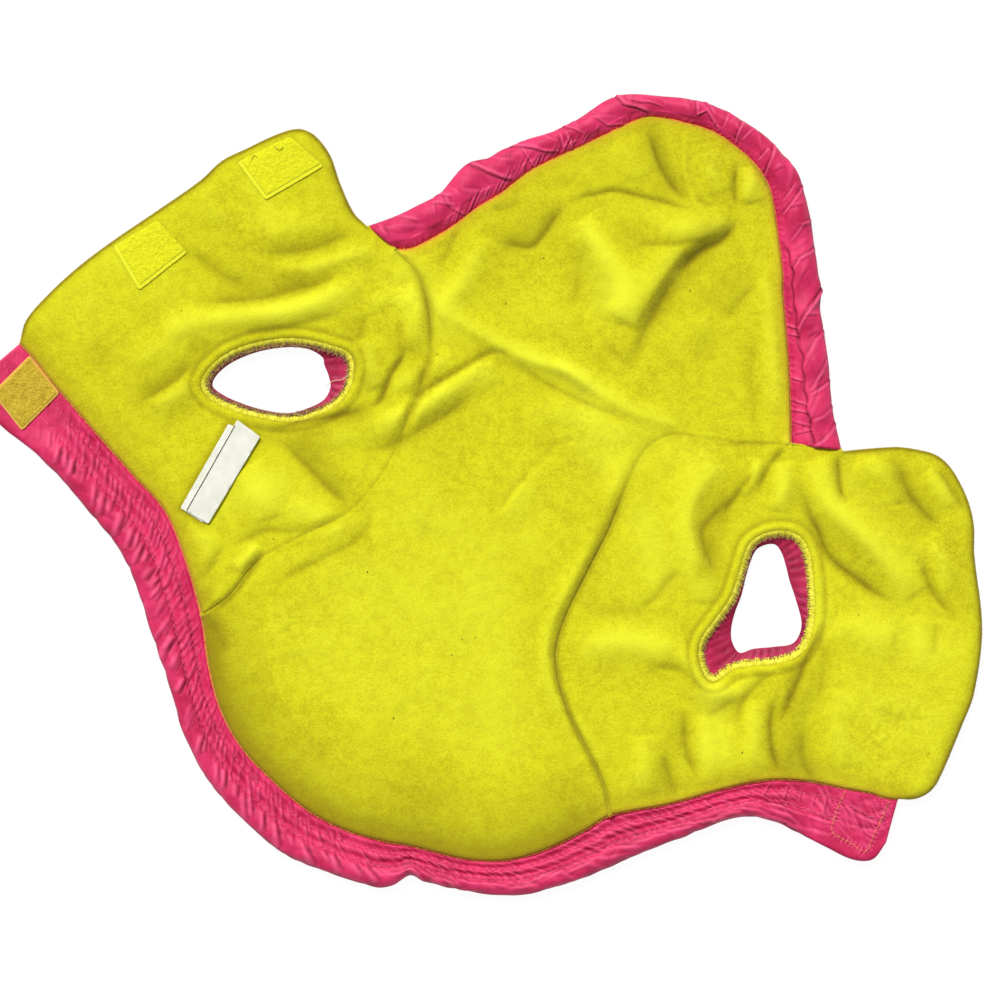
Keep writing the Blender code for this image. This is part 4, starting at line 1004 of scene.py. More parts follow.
def toneAt(points):
    tone = np.zeros(len(points))
    for x0, y0, x1, y1, size, amount in tonePatches:
        run = np.array([x1 - x0, y1 - y0], float)
        away = points - np.array([x0, y0], float)
        t = np.clip(away @ run / max(float(run @ run), 1e-6), 0.0, 1.0)
        beside = np.sum((away - t[:, None] * run) ** 2, axis=1)
        tone += amount * np.exp(-beside / size**2)
    return tone


# what lies on the left panel, and how dark and how wide its shadow is
panels["leftChest"]["under"] = [
    (tapeCorners["flapLoopNeck"], 0.22, 1.2), (tapeCorners["flapLoopBelly"], 0.22, 1.2),
    (labelCorners["careLabelBack"], 0.55, 2.2),
]


def makeFleecePanel(name, panel, seed):
    shape = fleeceShape
    inner = [movedIn(loop, shape["rim"]) for loop in panel["fleeceLoops"]]
    sides = bothSides(inner, shape["topSpacing"], shape["lowSpacing"], seed)
    points, faces, lowPoints, _ = sides
    topZ = fleeceTop(points, panel)
    lowZ = padHeights(lowPoints, panel)[1] + cloth["layerGap"]
    # painted shade from creases, edges, broad hollows of the relief, shaded tone patches and pill valleys;
    # painted highlight on broad crests, lit tone patches and pill tops
    narrow = np.maximum(hollowness(faces, topZ, 5, 0.9), 0.0)
    wide = hollowness(faces, topZ, shape["foldRounds"], shape["foldScale"])
    tone, curl = toneAt(points), curls(points) * pilling(points)
    dark = darker(darker(fleeceShade(points, panel), 0.5 * np.clip(wide, 0, 1)), 0.62 * np.clip(-tone, 0, 1))
    dark = dark + 0.16 * np.clip(-curl, 0, 1)
    skin = {"paintedShade": np.clip(dark + 0.4 * narrow, 0, 1),
            "lit": np.clip(np.clip(-wide, 0, 1) + tone + 0.34 * np.maximum(curl, 0), 0, 1),
            "blush": blushOf(points, panel)}
    panel["skin"] = (points, skin)
    return layeredWall(name, panel["fleeceLoops"], sides, topZ, lowZ, fleeceFinish, shape["rim"], skin)


# padded nylon shell under the fleece, with channels quilted across its underside
shellShape = {"topSpacing": 4.5, "lowSpacing": 2.6, "rim": 1.0, "drawnIn": 0.5, "channel": 46.0,
              "channelTurn": 52.0, "groove": 1.1, "grooveWidth": 2.2, "pucker": 0.25, "puckerWidth": 6.0}


def channelDepth(points):
    shape = shellShape
    turn = math.radians(shape["channelTurn"])
    across = points @ np.array([-math.sin(turn), math.cos(turn)])
    along = points @ np.array([math.cos(turn), math.sin(turn)])
    fromLine = np.abs((across / shape["channel"] + 0.5) % 1.0 - 0.5) * shape["channel"]
    ripple = 0.5 + 0.5 * np.sin(along / 3.1 + 1.7 * np.sin(along / 13.0))
    return (shape["groove"] * bell(fromLine, shape["grooveWidth"])
            + shape["pucker"] * ripple * bell(fromLine, shape["puckerWidth"]))


def makeShell(name, panel, seed):
    shape = shellShape
    loops = [movedIn(loop, shape["drawnIn"]) for loop in panel["loops"]]
    inner = [movedIn(loop, shape["rim"]) for loop in loops]
    sides = bothSides(inner, shape["topSpacing"], shape["lowSpacing"], seed)
    topPoints, _, lowPoints, _ = sides
    topZ, lowZ = padHeights(topPoints, panel)[1], padHeights(lowPoints, panel)[0]
    inside = np.ones(len(lowPoints))
    for loop in loops:
        inside = np.minimum(inside, softStep((distanceTo(lowPoints, loop, True, 8.0) - 1.5) / 5.0))
    # a recess or a lifted fold has no channels
    lowZ = np.where(lowZ > 1.7, lowZ, lowZ + channelDepth(lowPoints) * inside)
    even = {key: np.zeros(len(topPoints)) for key in ("paintedShade", "raised")}
    return layeredWall(name, loops, sides, topZ, lowZ, nylonFinish, shape["rim"], even)


backFleece = makeFleecePanel("backFleece", panels["back"], 3)
leftFleece = makeFleecePanel("leftChestFleece", panels["leftChest"], 5)
rightFleece = makeFleecePanel("rightChestFleece", panels["rightChest"], 7)
backShell = makeShell("backShell", panels["back"], 13)
leftShell = makeShell("leftChestShell", panels["leftChest"], 15)
rightShell = makeShell("rightChestShell", panels["rightChest"], 17)


# bands sewn round the coat
def splineAt(rows, places):
    # smooth curve through the rows, at places counted in rows
    rows = np.array(rows, float)
    padded = np.concatenate([2 * rows[:1] - rows[1:2], rows, 2 * rows[-1:] - rows[-2:-1]])
    cell = np.clip(np.floor(places).astype(int), 0, len(rows) - 2)
    t = (places - cell)[:, None]
    a, b, c, d = (padded[cell + k] for k in range(4))
    return 0.5 * (2 * b + (c - a) * t + (2 * a - 5 * b + 4 * c - d) * t**2 + (3 * b - a - 3 * c + d) * t**3)


def evenPlaces(rows, width, step):
    # places on a profile that lie a step apart
    fine = np.linspace(0.0, len(rows) - 1, 600)
    before = lengthAlong(splineAt(rows, fine) * np.array([width, 1.0]))
    count = max(4, round(before[-1] / step))
    return np.interp(np.linspace(0.0, before[-1], count + 1), before, fine)


def sectionsOff(rows, step, gap, closed=False):
    # sections across a band, with a gap between it and the seam, and how far along the band each lies
    sections, _ = curveThrough(rows, step, closed)
    way = sections[:, 2:] - sections[:, :2]
    sections[:, :2] += way / np.linalg.norm(way, axis=1)[:, None] * gap
    return sections, lengthAlong((sections[:, :2] + sections[:, 2:]) / 2)


def pleated(s, a, lines):
    # crisp creases on a grid of distances along and across a band: a trough with a lip beside it, painted
    # shade in the trough and a painted highlight on the lip
    relief, dark, bright = (np.zeros(a.shape) for _ in range(3))
    for s0, a0, s1, a1, height, width in lines:
        reach = 4.0 * width
        rows = slice(*np.searchsorted(s, [min(s0, s1) - reach, max(s0, s1) + reach]))
        if rows.stop <= rows.start:
            continue
        run = np.array([s1 - s0, a1 - a0])
        length = max(float(np.hypot(*run)), 1e-6)
        run = run / length
        ds, da = s[rows, None] - s0, a[rows] - a0
        along = (ds * run[0] + da * run[1]) / length
        beside = (da * run[0] - ds * run[1]) / width
        taper = np.clip(4 * along * (1 - along), 0.0, 1.0) ** 0.5
        trough = taper * np.exp(-((beside / 0.6) ** 2))
        lip = taper * np.exp(-(((beside - 1.4) / 0.9) ** 2))
        relief[rows] += height * (lip - 0.8 * trough)
        strength = min(1.0, height / 0.55)
        dark[rows] = np.maximum(dark[rows], strength * trough)
        bright[rows] = np.maximum(bright[rows], strength * lip)
    return relief, dark, bright


def facets(s, a, size, seed):
    # stiff cloth between creases: flat parts that meet in thin valleys, and painted shade in those valleys
    across = np.stack([s[:, None] * 0.8 + a * 0.7, a * 1.1 - s[:, None] * 0.3], axis=2)
    level = np.abs(softNoise(across, size, seed))
    return level - 0.35, 0.45 * np.exp(-level / 0.045)


def placesOn(plan, s, a, top, table):
    # creases given in plan as runs on the band's upper side, in distances along and across
    lines = []
    for points, height, width in table:
        spots = []
        for point in np.reshape(points, (-1, 2)):
            away = np.linalg.norm(plan[:, :top] - point, axis=2)
            i, j = np.unravel_index(away.argmin(), away.shape)
            spots.append((s[i], a[i, j]))
        for (s0, a0), (s1, a1) in zip(spots[:-1], spots[1:]):
            ds, da = 0.12 * (s1 - s0), 0.12 * (a1 - a0)
            lines.append((s0 - ds, a0 - da, s1 + ds, a1 + da, height, width))
    return lines


def blurred(grid, rounds):
    for _ in range(rounds):
        up, down = np.roll(grid, 1, axis=0), np.roll(grid, -1, axis=0)
        up[0], down[-1] = grid[0], grid[-1]
        left, right = np.roll(grid, 1, axis=1), np.roll(grid, -1, axis=1)
        left[:, 0], right[:, -1] = grid[:, 0], grid[:, -1]
        grid = 0.4 * grid + 0.15 * (up + down + left + right)
    return grid


def layBand(sections, shares, heights):
    # places on the band: plan direction across it, distance along it, and distance round its profile
    seam, edge = sections[:, None, :2], sections[:, None, 2:]
    way = edge - seam
    width = np.linalg.norm(way, axis=2)
    dx, dz = np.gradient(shares, axis=1) * width, np.gradient(heights, axis=1)
    size = np.maximum(np.hypot(dx, dz), 1e-6)
    steps = np.hypot(np.diff(shares, axis=1) * width, np.diff(heights, axis=1))
    a = np.concatenate([np.zeros((len(shares), 1)), np.cumsum(steps, axis=1)], axis=1)
    s = lengthAlong((sections[:, :2] + sections[:, 2:]) / 2)
    return seam + way * shares[..., None], (way / width[..., None], -dz / size, dx / size), s, a


def raisedBy(relief, plan, heights, normal):
    way, out, up = normal
    return plan + way * (relief * out)[..., None], heights + relief * up


def closedBelow(points, z, sections, lowZ, shade, endReach):
    # the underside runs straight back to the seam, and the ends are rounded
    under = np.linspace(1.0, 0.0, 8)[1:]
    lowPlan = points[:, -1:] * under[None, :, None] + sections[:, None, :2] * (1 - under)[None, :, None]
    low = np.dstack([lowPlan, np.repeat(lowZ, len(under), axis=1)])
    grid = np.concatenate([np.dstack([points, z]), low], axis=1)
    s = lengthAlong((sections[:, :2] + sections[:, 2:]) / 2)
    t = 1.0 - np.clip(np.minimum(s, s[-1] - s) / endReach, 0.0, 1.0)
    keep = np.maximum(np.sqrt(np.clip(1.0 - t * t, 0.0, 1.0)), 0.3)[:, None]
    middle = (grid[..., 2].max(axis=1, keepdims=True) + grid[..., 2].min(axis=1, keepdims=True)) / 2
    grid[..., 2] = middle + (grid[..., 2] - middle) * keep
    plain = np.zeros((len(s), len(under)))
    return grid, {key: np.concatenate([v, plain], axis=1) for key, v in shade.items()}


def bandMesh(name, grid, material, values, closed=False):
    rows, across = grid.shape[:2]
    index = np.arange(rows * across).reshape(rows, across)
    here, ahead = (index, np.roll(index, -1, axis=0)) if closed else (index[:-1], index[1:])
    quads = np.stack([here, ahead, np.roll(ahead, -1, axis=1), np.roll(here, -1, axis=1)], axis=2)
    verts = grid.reshape(-1, 3)
    k = quads[rows // 2, across // 4]
    up = np.cross(verts[k[1]] - verts[k[0]], verts[k[3]] - verts[k[0]])[2]
    faces = [tuple(q) for q in quads.reshape(-1, 4)]
    ends = [] if closed else [0, -1]
    for end in ends:   # a fan of triangles closes each end
        tip = len(verts)
        verts = np.concatenate([verts, grid[end].mean(axis=0)[None]])
        turned = (index[end], np.roll(index[end], -1))[::1 if end == 0 else -1]
        faces += [(a, b, tip) for a, b in zip(*turned)]
    values = {key: np.concatenate([v.reshape(-1)] + [v[end, :1] for end in ends])
              for key, v in values.items()}
    return newPiece(name, verts, [f[::-1] for f in faces] if up < 0 else faces, material, values)


def shadeOf(relief, scale, dark=0.0, bright=0.0):
    # painted shade where the relief lies below its blurred surroundings, painted highlight (raised) where it
    # lies above
    away = relief - blurred(relief, 12)
    return {"paintedShade": np.clip(0.6 * np.clip(-away / scale, 0, 1) + dark, 0, 1),
            "raised": np.clip(0.5 * np.clip(away / scale, 0, 1) + bright, 0, 1)}


collarShape = {
    "puffed": [(0.00, 3.6), (0.09, 5.0), (0.20, 3.8), (0.34, 5.6), (0.48, 4.2), (0.62, 6.8), (0.78, 7.8),
               (0.92, 6.4), (1.00, 3.4), (0.94, 0.6), (0.86, 0.0)],
    "flat": [(0.00, 3.4), (0.05, 4.0), (0.20, 4.0), (0.34, 4.0), (0.48, 4.0), (0.62, 4.0), (0.78, 4.0),
             (0.95, 4.0), (1.00, 2.8), (0.97, 0.5), (0.92, 0.0)],
    "flatEnd": 38.0, "puffIn": 22.0, "step": 0.58, "nominalWidth": 24.0,
    "rows": (6.4, 14.4),                 # stitching, measured round the profile from the seam
    "puckerPitch": 3.0, "puckerHeight": 0.31, "puckerWidth": 0.65, "seed": 41,
    # longer puckers between the rows and over the outer channel: start, reach, pitch, height, width
    "zones": [(0.6, 6.0, 5.4, 0.28, 0.85), (6.4, 8.0, 4.6, 0.42, 0.95), (14.4, 6.4, 8.5, 0.44, 1.25),
              (14.8, 9.0, 13.0, 0.66, 1.35)],
    # outline: painted shade along the band's outer edge
    "outer": 14.0, "calmUnder": 0.65, "facets": (8.0, 0.75), "outline": 0.5, "endReach": 1.4,
    "tapeRoom": 1.8,                     # the end lies this high over its hook tape
    "endComb": (1.9, 2.4, 43),           # gathers across the box of stitches: pitch, reach, seed
}
collarCreases = [   # on the right end, in plan, with height and width; the lip is on the left of each line
    ((129, -154, 139, -152.2, 152.3, -155.8, 164, -159.5, 174, -162.5), 0.75, 1.0),
    ((144.8, -145, 141.5, -150), 0.45, 0.7), ((154, -145.8, 151.5, -152.5), 0.45, 0.7),
    ((160.7, -147.5, 159, -154.2), 0.50, 0.7), ((167.3, -150, 164.8, -158.3), 0.45, 0.7),
    ((173.2, -151.7, 170.7, -160), 0.45, 0.7), ((149, -147.5, 157.3, -150.8), 0.40, 0.8),
    ((161.5, -149.2, 169.8, -154.2), 0.40, 0.8), ((139, -158.3, 160.7, -165.8), 0.45, 1.3),
    ((154, -164.2, 172.3, -168.3), 0.45, 1.2), ((147.3, -161.7, 159, -170.8), 0.35, 1.0),
    ((183.2, -155, 187.3, -158.3, 200.7, -163.3), 0.60, 0.9),
    ((180.7, -151.7, 192.3, -158.3), 0.28, 1.0), ((184, -164.2, 193.2, -166.7), 0.34, 0.9),
    ((179, -164.2, 186.5, -172.5), 0.30, 0.9), ((194, -152.5, 199.8, -158.3), 0.32, 0.9),
]
boxSeams = {   # the collar's right end is stitched round the hook tape below it
    "collarEndBox": [(181, -149), (178, -156), (175, -168), (183.5, -173.5), (191.5, -178), (196, -169.5),
                     (199.5, -162), (203, -154)],
    "collarEndRow": [(184, -155.5), (189, -158), (195, -161), (200, -163)],
    "collarEndLead": [(150, -153), (159, -156), (168, -159), (176, -162.5)],
}


def combAcross(line, pitch, reach, seed):
    # short gathers that a row of stitches pulls up
    random = np.random.default_rng(seed)
    path = curveThrough(line, pitch)[0]
    table = []
    for spot, away in zip(path, leftOf(path)):
        low, high = reach * random.uniform(0.5, 1.1), reach * random.uniform(0.6, 1.3)
        table.append(([tuple(spot - away * low), tuple(spot + away * high)], random.uniform(0.25, 0.55), 0.6))
    return table


def collarPuckers(length, lowAt):
    shape = collarShape
    random = np.random.default_rng(shape["seed"])
    lines = []
    for row in shape["rows"]:   # short ones across each row of stitches
        s = 2.0
        while s < length - 2.0:
            lean = random.normal(0.9, 0.15)
            inwards, outwards = random.uniform(1.6, 3.4), random.uniform(2.0, 4.0)
            height = shape["puckerHeight"] * random.uniform(0.4, 1.3)
            width = shape["puckerWidth"] * random.uniform(0.75, 1.3)
            lines.append((s - lean * inwards, row - inwards, s + lean * outwards, row + outwards,
                          height, width))
            s += shape["puckerPitch"] * random.uniform(0.5, 1.5)
    for start, reach, pitch, height, width in shape["zones"]:
        outer = start > shape["outer"]
        s = 40.0 if outer else 6.0
        while s < length - (44.0 if outer else 6.0):
            lean = random.normal(1.0, 0.13)
            size = reach * random.uniform(0.65, 1.1)
            at = start + random.uniform(0.0, 1.0)
            calm = 1.0 - shape["calmUnder"] * lowAt(s) * outer
            lines.append((s, at, s + lean * size, at + size, calm * height * random.uniform(0.5, 1.4),
                          width * random.uniform(0.8, 1.3)))
            s += pitch * random.uniform(0.5, 1.6)
    for s in np.arange(4.0, length - 50.0, 9.0):   # long ones along the roll under the neck
        if lowAt(s) > 0.5:
            at, rise = random.uniform(15.5, 19.0), random.normal(2.0, 2.0)
            lines.append((s, at, s + random.uniform(9.0, 17.0), at + rise, random.uniform(0.3, 0.6), 1.2))
    return lines


def makeCollar():
    shape = collarShape
    sections, s = sectionsOff(collarRows, shape["step"], cloth["seamGap"] / 2)
    at = evenPlaces(shape["puffed"], shape["nominalWidth"], shape["step"])
    puffed, flat = splineAt(shape["puffed"], at), splineAt(shape["flat"], at)
    puff = softStep((np.minimum(s, s[-1] - s) - shape["flatEnd"]) / shape["puffIn"])[:, None]
    shares, heights = (flat[:, k] * (1 - puff) + puffed[:, k] * puff for k in (0, 1))
    plan, normal, s, a = layBand(sections, shares, heights)
    a = a / a[:, -1:] * np.median(a[:, -1])   # the rows of stitches keep their share of the width
    low = softStep((sections[:, 0] + 62.0) / 24.0) * softStep((-130.0 - sections[:, 1]) / 8.0)
    lines = collarPuckers(s[-1], lambda at: np.interp(at, s, low))
    atEnd = collarCreases + combAcross(boxSeams["collarEndBox"], *shape["endComb"])
    lines += placesOn(plan, s, a, int(np.argmax(shares[-1])) + 1, atEnd)
    relief, dark, bright = pleated(s, a, lines)
    for row, deeper in zip(shape["rows"], (0.0, 1.0)):
        deeper = deeper * low[:, None] * puff
        relief -= (0.35 * puff + 0.25 + 0.75 * deeper) * bell(a - row, 0.8)
        # painted shade along the rows of stitches
        dark += (0.20 + 0.45 * deeper) * bell(a - row, 0.7)
    level, valley = facets(s, a, shape["facets"][0], 31)
    relief += shape["facets"][1] * level
    calm = np.maximum(0.25 + 0.75 * puff, 0.95 * softStep((s - (s[-1] - 46.0)) / 6.0)[:, None])
    # painted shade in the valleys between facets and in the creases
    dark = (dark + 0.8 * valley * (a > 1.5)) * calm
    nearEdge = softStep((a[:, -1:] - a) / 4.0)
    # painted shade where the band turns down at its outer edge
    outline = shape["outline"] * softStep((shares - 0.92) / 0.08) * nearEdge
    relief = relief * calm * softStep(a / 1.2) * nearEdge
    points, z = raisedBy(relief, plan, heights, normal)
    raised = shape["tapeRoom"] * softStep((s - (s[-1] - shape["flatEnd"] - 2)) / 3.0)[:, None]
    z = np.maximum(z, 0.0) + raised * (1 - 0.4 * np.clip(heights / 3.0, 0.0, 1.0))
    shade = shadeOf(relief, 0.8, 0.38 * dark + outline, 0.75 * bright * calm)
    grid, shade = closedBelow(points, z, sections, raised, shade, shape["endReach"])
    return bandMesh("collarBand", grid, nylonFinish, shade), {"grid": np.dstack([points, z]), "a": a}


hemShape = {
    "puffed": [(0.00, 4.2), (0.10, 6.0), (0.26, 7.4), (0.44, 8.4), (0.64, 9.0), (0.84, 8.0), (1.00, 4.8),
               (0.95, 1.4), (0.84, 0.0)],
    "step": 0.6, "nominalWidth": 18.0, "lump": 24.0, "lumpHeight": 0.09,
    "gatheredFrom": 26.0, "gatheredTo": 118.0, "gatherPitch": 2.0, "gatherHeight": 0.36,
    "gatherWidth": 0.62, "gatherReach": 8.0,
    # outline: painted shade along the band's outer edge
    "facets": (13.0, 0.9), "outline": 0.4, "endReach": 0.7, "seed": 57,
}
hemCreases = [   # in plan, with height and width; the lip is on the left of each line
    ((-42, 139, -33, 136), 0.40, 0.8), ((-26, 149, -15, 148), 0.45, 0.8),
    ((-24, 145, -14, 144), 0.50, 0.7), ((-6, 165, 3, 160, 14, 157), 0.80, 0.9),
    ((14, 174, 30, 171, 38, 171), 0.55, 0.8), ((38, 180, 40, 174), 0.50, 0.7),
    ((41, 181, 43, 175), 0.40, 0.6), ((40, 184, 50, 180), 0.45, 0.8),
    ((-20, 150, -16, 143, -8, 139), 0.45, 0.7), ((20, 172, 24, 166, 27, 161), 0.45, 0.6),
    ((66, 199, 71, 194, 83, 191), 0.80, 0.9), ((72, 197, 80, 195, 90, 193), 0.40, 0.7),
    ((56, 188, 63, 184, 72, 185), 0.45, 0.7), ((106, 197, 107, 190), 0.75, 0.7),
    ((108, 189, 112, 191, 117, 183), 0.70, 0.7), ((111, 196, 115, 190), 0.45, 0.7),
    ((130, 187, 127, 181, 126, 177), 0.85, 0.7), ((134, 183, 130, 178), 0.55, 0.6),
    ((122, 190, 120, 184), 0.40, 0.7), ((145, 175, 144, 169, 140, 159), 0.85, 0.8),
    ((142, 173, 138, 168), 0.60, 0.6), ((160, 155, 155, 148, 150, 141), 0.85, 0.8),
    ((156, 156, 150, 148), 0.50, 0.6), ((165, 139, 160, 136, 154, 128), 0.45, 0.7),
    ((166, 124, 158, 119, 155, 113), 0.60, 0.8), ((170, 104, 163, 94, 157, 83), 0.95, 0.9),
    ((167, 98, 159, 86), 0.60, 0.7), ((171, 67, 164, 54), 0.60, 0.9), ((174, 58, 165, 51), 0.55, 0.8),
    ((178, 38, 172, 30, 166, 25), 0.5, 0.8), ((176, 46, 170, 40, 165, 38), 0.40, 0.9),
    ((172, 84, 166, 78, 161, 70), 0.35, 1.0), ((151, 84, 158, 82), 0.55, 0.6),
    ((152, 80, 158, 79), 0.50, 0.6), ((153, 58, 160, 56), 0.50, 0.6), ((153, 47, 162, 44), 0.50, 0.6),
    ((154, 42, 162, 40), 0.55, 0.6), ((154, 36, 163, 34), 0.50, 0.6), ((154, 30, 164, 32), 0.50, 0.6),
]
hemStrip = [   # outer border of the gathered strip beside the fleece
    (150, 128), (154, 115), (155, 102), (157, 83), (159, 72), (160, 62), (161, 54), (162, 42),
    (164, 35), (165, 26),
]


def hemGathers(length):
    shape = hemShape
    random = np.random.default_rng(shape["seed"])
    lines = []
    s = 1.0
    while s < length - 1.0:   # fine gathers along the seam, long and dense round the left half
        dense = shape["gatheredFrom"] < s < shape["gatheredTo"]
        lean = random.normal(1.25 if dense else 0.5, 0.25)
        reach = shape["gatherReach"] * random.uniform(0.6, 1.15) * (1.0 if dense else 0.42)
        height = shape["gatherHeight"] * random.uniform(0.5, 1.4) * (1.0 if dense else 0.6)
        width = shape["gatherWidth"] * random.uniform(0.8, 1.2)
        lines.append((s, 0.3, s + lean * reach, 0.3 + reach, height, width))
        s += shape["gatherPitch"] * random.uniform(0.6, 1.5) * (1.0 if dense else 1.5)
    s = 4.0
    while s < length - 4.0:   # weak creases that run over the roll at a slant
        lean = random.normal(-0.9, 0.6)
        start, reach = random.uniform(6.5, 12.0), random.uniform(6.0, 12.0)
        height, width = random.uniform(0.12, 0.30), random.uniform(0.8, 1.3)
        lines.append((s, start, s + lean * reach, start + reach, height, width))
        s += random.uniform(6.0, 13.0)
    return lines


def makeHem():
    shape = hemShape
    sections, s = sectionsOff(hemRows, shape["step"], cloth["seamGap"] / 2)
    profile = splineAt(shape["puffed"], evenPlaces(shape["puffed"], shape["nominalWidth"], shape["step"]))
    sections[0] += 0.1 * (sections[1] - sections[0])   # clear of the flaps at both ends
    sections[-1] += 0.1 * (sections[-2] - sections[-1])
    lump = 1.0 + shape["lumpHeight"] * np.sin(s / shape["lump"] * 2 * math.pi + 1.7 * np.sin(s / 61.0))
    shares = np.repeat(profile[None, :, 0], len(s), axis=0)
    heights = profile[None, :, 1] * np.where(shares > 0.3, lump[:, None], 1.0)
    plan, normal, s, a = layBand(sections, shares, heights)
    top = int(np.argmax(profile[:, 0])) + 1
    relief, dark, bright = pleated(s, a, hemGathers(s[-1]) + placesOn(plan, s, a, top, hemCreases))
    level, valley = facets(s, a, shape["facets"][0], 33)
    relief += shape["facets"][1] * level
    # painted shade in the valleys between facets
    dark += valley * (a > 2.0)
    # strip beside the fleece on the right, with scallops along its border
    near, beside, along = besideLine(plan.reshape(-1, 2), hemStrip, 9.0)
    row, column = np.divmod(near, plan.shape[1])
    scallop = beside + 0.5 * np.sin(along * 62.0)
    fade = softStep(along / 0.08) * (row > len(s) // 2) * (column < top)
    groove, low = np.zeros(a.shape), np.zeros(a.shape)
    groove[row, column] = fade * bell(scallop, 0.75)
    low[row, column] = fade * softStep((1.0 - scallop) / 2.5)
    relief -= 0.9 * groove + 1.5 * low
    # painted shade in the scalloped groove
    dark += 0.9 * groove
    nearEdge = softStep((a[:, -1:] - a) / 4.0)
    # painted shade along the outer edge
    outline = shape["outline"] * softStep((shares - 0.93) / 0.07) * nearEdge
    relief = relief * softStep(a / 1.0) * nearEdge
    points, z = raisedBy(relief, plan, heights, normal)
    shade = shadeOf(relief, 0.9, 0.5 * dark + outline, 0.9 * bright)
    z, onFloor = np.maximum(z, 0.0), np.zeros((len(s), 1))
    grid, shade = closedBelow(points, z, sections, onFloor, shade, shape["endReach"])
    return bandMesh("tailHem", grid, nylonFinish, shade)


collarBand, collarSurface = makeCollar()
tailHem = makeHem()


# cuffs inside the leg holes
cuffShape = {
    "profile": [(0.00, 3.6), (0.40, 3.0), (0.92, 1.6), (1.00, 1.0), (0.97, 0.25), (0.90, 0.0), (0.40, 1.4),
                (0.05, 2.0)],
    "step": 0.8, "across": 0.7, "nominalWidth": 8.0, "gather": 4.4, "gatherHeight": 0.30, "narrow": 5.0,
}


def makeCuff(name, rows, seed):
    shape = cuffShape
    sections, _ = sectionsOff(rows, shape["step"], cloth["seamGap"], closed=True)
    profile = splineAt(shape["profile"], evenPlaces(shape["profile"], shape["nominalWidth"], shape["across"]))
    shares, heights = (np.repeat(profile[None, :, k], len(sections), axis=0) for k in (0, 1))
    plan, normal, s, a = layBand(sections, shares, heights)
    turn = s[:, None] / s[-1] * 2 * math.pi
    count = round(s[-1] / shape["gather"])
    wave = np.sin(turn * count + 1.3 * np.sin(turn * 5 + seed) + 0.35 * a)
    uneven = 0.35 + 0.65 * np.abs(softNoise(plan, 9.0, 37 + seed))
    level, valley = facets(s, a, 5.0, 35 + seed)
    relief = shape["gatherHeight"] * uneven * (wave + 1.2 * level) * softStep(shares / 0.3)
    relief = relief * softStep((1.02 - shares) / 0.25) * (heights > 1.2)
    width = np.linalg.norm(sections[:, 2:] - sections[:, :2], axis=1)[:, None]
    # painted shade, deeper into the hole, where the cuff is narrow and in the valleys between facets
    dark = 0.30 + 0.28 * softStep(shares) + 0.34 * softStep((shape["narrow"] - width) / 2.0) + 0.6 * valley
    points, z = raisedBy(relief, plan, heights, normal)
    grid = np.dstack([points, np.maximum(z, 0.0)])
    return bandMesh(name, grid, nylonFinish, shadeOf(relief, 0.6, dark), closed=True)


leftCuff = makeCuff("leftLegCuff", leftCuffRows, 1)
rightCuff = makeCuff("rightLegCuff", rightCuffRows, 2)


# loop and hook tape, and the label
tapeShape = {"spacing": 0.52, "lowSpacing": 3.0, "rim": 0.3, "corner": 1.6, "thick": 0.6, "border": 2.0}
labelShape = {"spacing": 0.8, "lowSpacing": 3.0, "rim": 0.18, "corner": 0.5, "thick": 0.4}


def makeTapePiece(name, floorAt, material, seed, selvedge=None, look=tapeShape):
    # selvedge: the corners between which the tape has a smooth woven border
    corners = np.array(tapeCorners.get(name) or labelCorners[name], float)
    loop = roundedLoop(corners, look["corner"], 0.8)
    sides = bothSides([movedIn(loop, look["rim"])], look["spacing"], look["lowSpacing"], seed)
    points, _, lowPoints, _ = sides
    if name in labelCorners:
        relief, border = 0.05 * softNoise(points, 9.0, seed), np.zeros(len(points))
    else:
        line = corners[list(selvedge)] if selvedge else loop
        border = 1.0 - softStep((distanceTo(points, line, not selvedge, 8.0) - look["border"] + 0.4) / 0.8)
        pile = 0.15 * softNoise(points, 1.0, seed) + 0.06 * softNoise(points, 5.0, seed + 3)
        relief = pile * (1 - 0.85 * border)
    # painted shade in the low places of the pile
    values = {"border": border, "paintedShade": np.clip(-relief / 0.6, 0, 1) * (1 - border)}
    top = floorAt(points) + look["thick"] + relief
    return layeredWall(name, [loop], sides, top, floorAt(lowPoints), material, look["rim"], values)


def onLeftFleece(points):
    return fleeceTop(points, panels["leftChest"], fine=False) + 0.1


def levelAt(height):
    return lambda points: np.full(len(points), height)


def acrossFleece(corners, lift):
    # an even plane that rests on the fleece between the corners
    spots = np.concatenate([np.array(corners, float), np.mean(corners, axis=0)[None]])
    spots = np.concatenate([spots, (spots[:4] + spots[4]) / 2])
    z = fleeceTop(spots, panels["leftChest"], fine=False)
    beside = np.column_stack([spots, np.ones(len(spots))])
    plane, *_ = np.linalg.lstsq(beside, z, rcond=None)
    above = max(0.0, float(np.max(z - beside @ plane)) * 0.6)
    return lambda points: np.column_stack([points, np.ones(len(points))]) @ plane + above + lift


hookShape = dict(tapeShape, thick=1.4)
labelPlane = labelCorners["careLabelBack"]
tapeRows = [   # name, what it lies on, finish, seed, selvedge, shape
    ("flapLoopNeck", onLeftFleece, loopFinish, 61, (2, 3, 0), tapeShape),
    ("flapLoopBelly", onLeftFleece, loopFinish, 63, (2, 3, 0), tapeShape),
    ("collarLoop", levelAt(4.2), goldFinish, 65, None, dict(tapeShape, border=1.1)),
    ("flapHookBelly", levelAt(0.0), hookFinish, 67, None, hookShape),
    ("flapHookNeck", levelAt(0.0), hookFinish, 69, None, hookShape),
    ("collarHook", levelAt(0.0), hookFinish, 71, None, hookShape),
    ("careLabelBack", acrossFleece(labelPlane, 0.15), satinFinish, 73, None, labelShape),
    ("careLabelFront", acrossFleece(labelPlane, 0.95), satinFinish, 75, None, labelShape),
]
tapes = {row[0]: makeTapePiece(*row) for row in tapeRows}
labelBack, labelFront = tapes["careLabelBack"], tapes["careLabelFront"]
print("tapes and label ready")


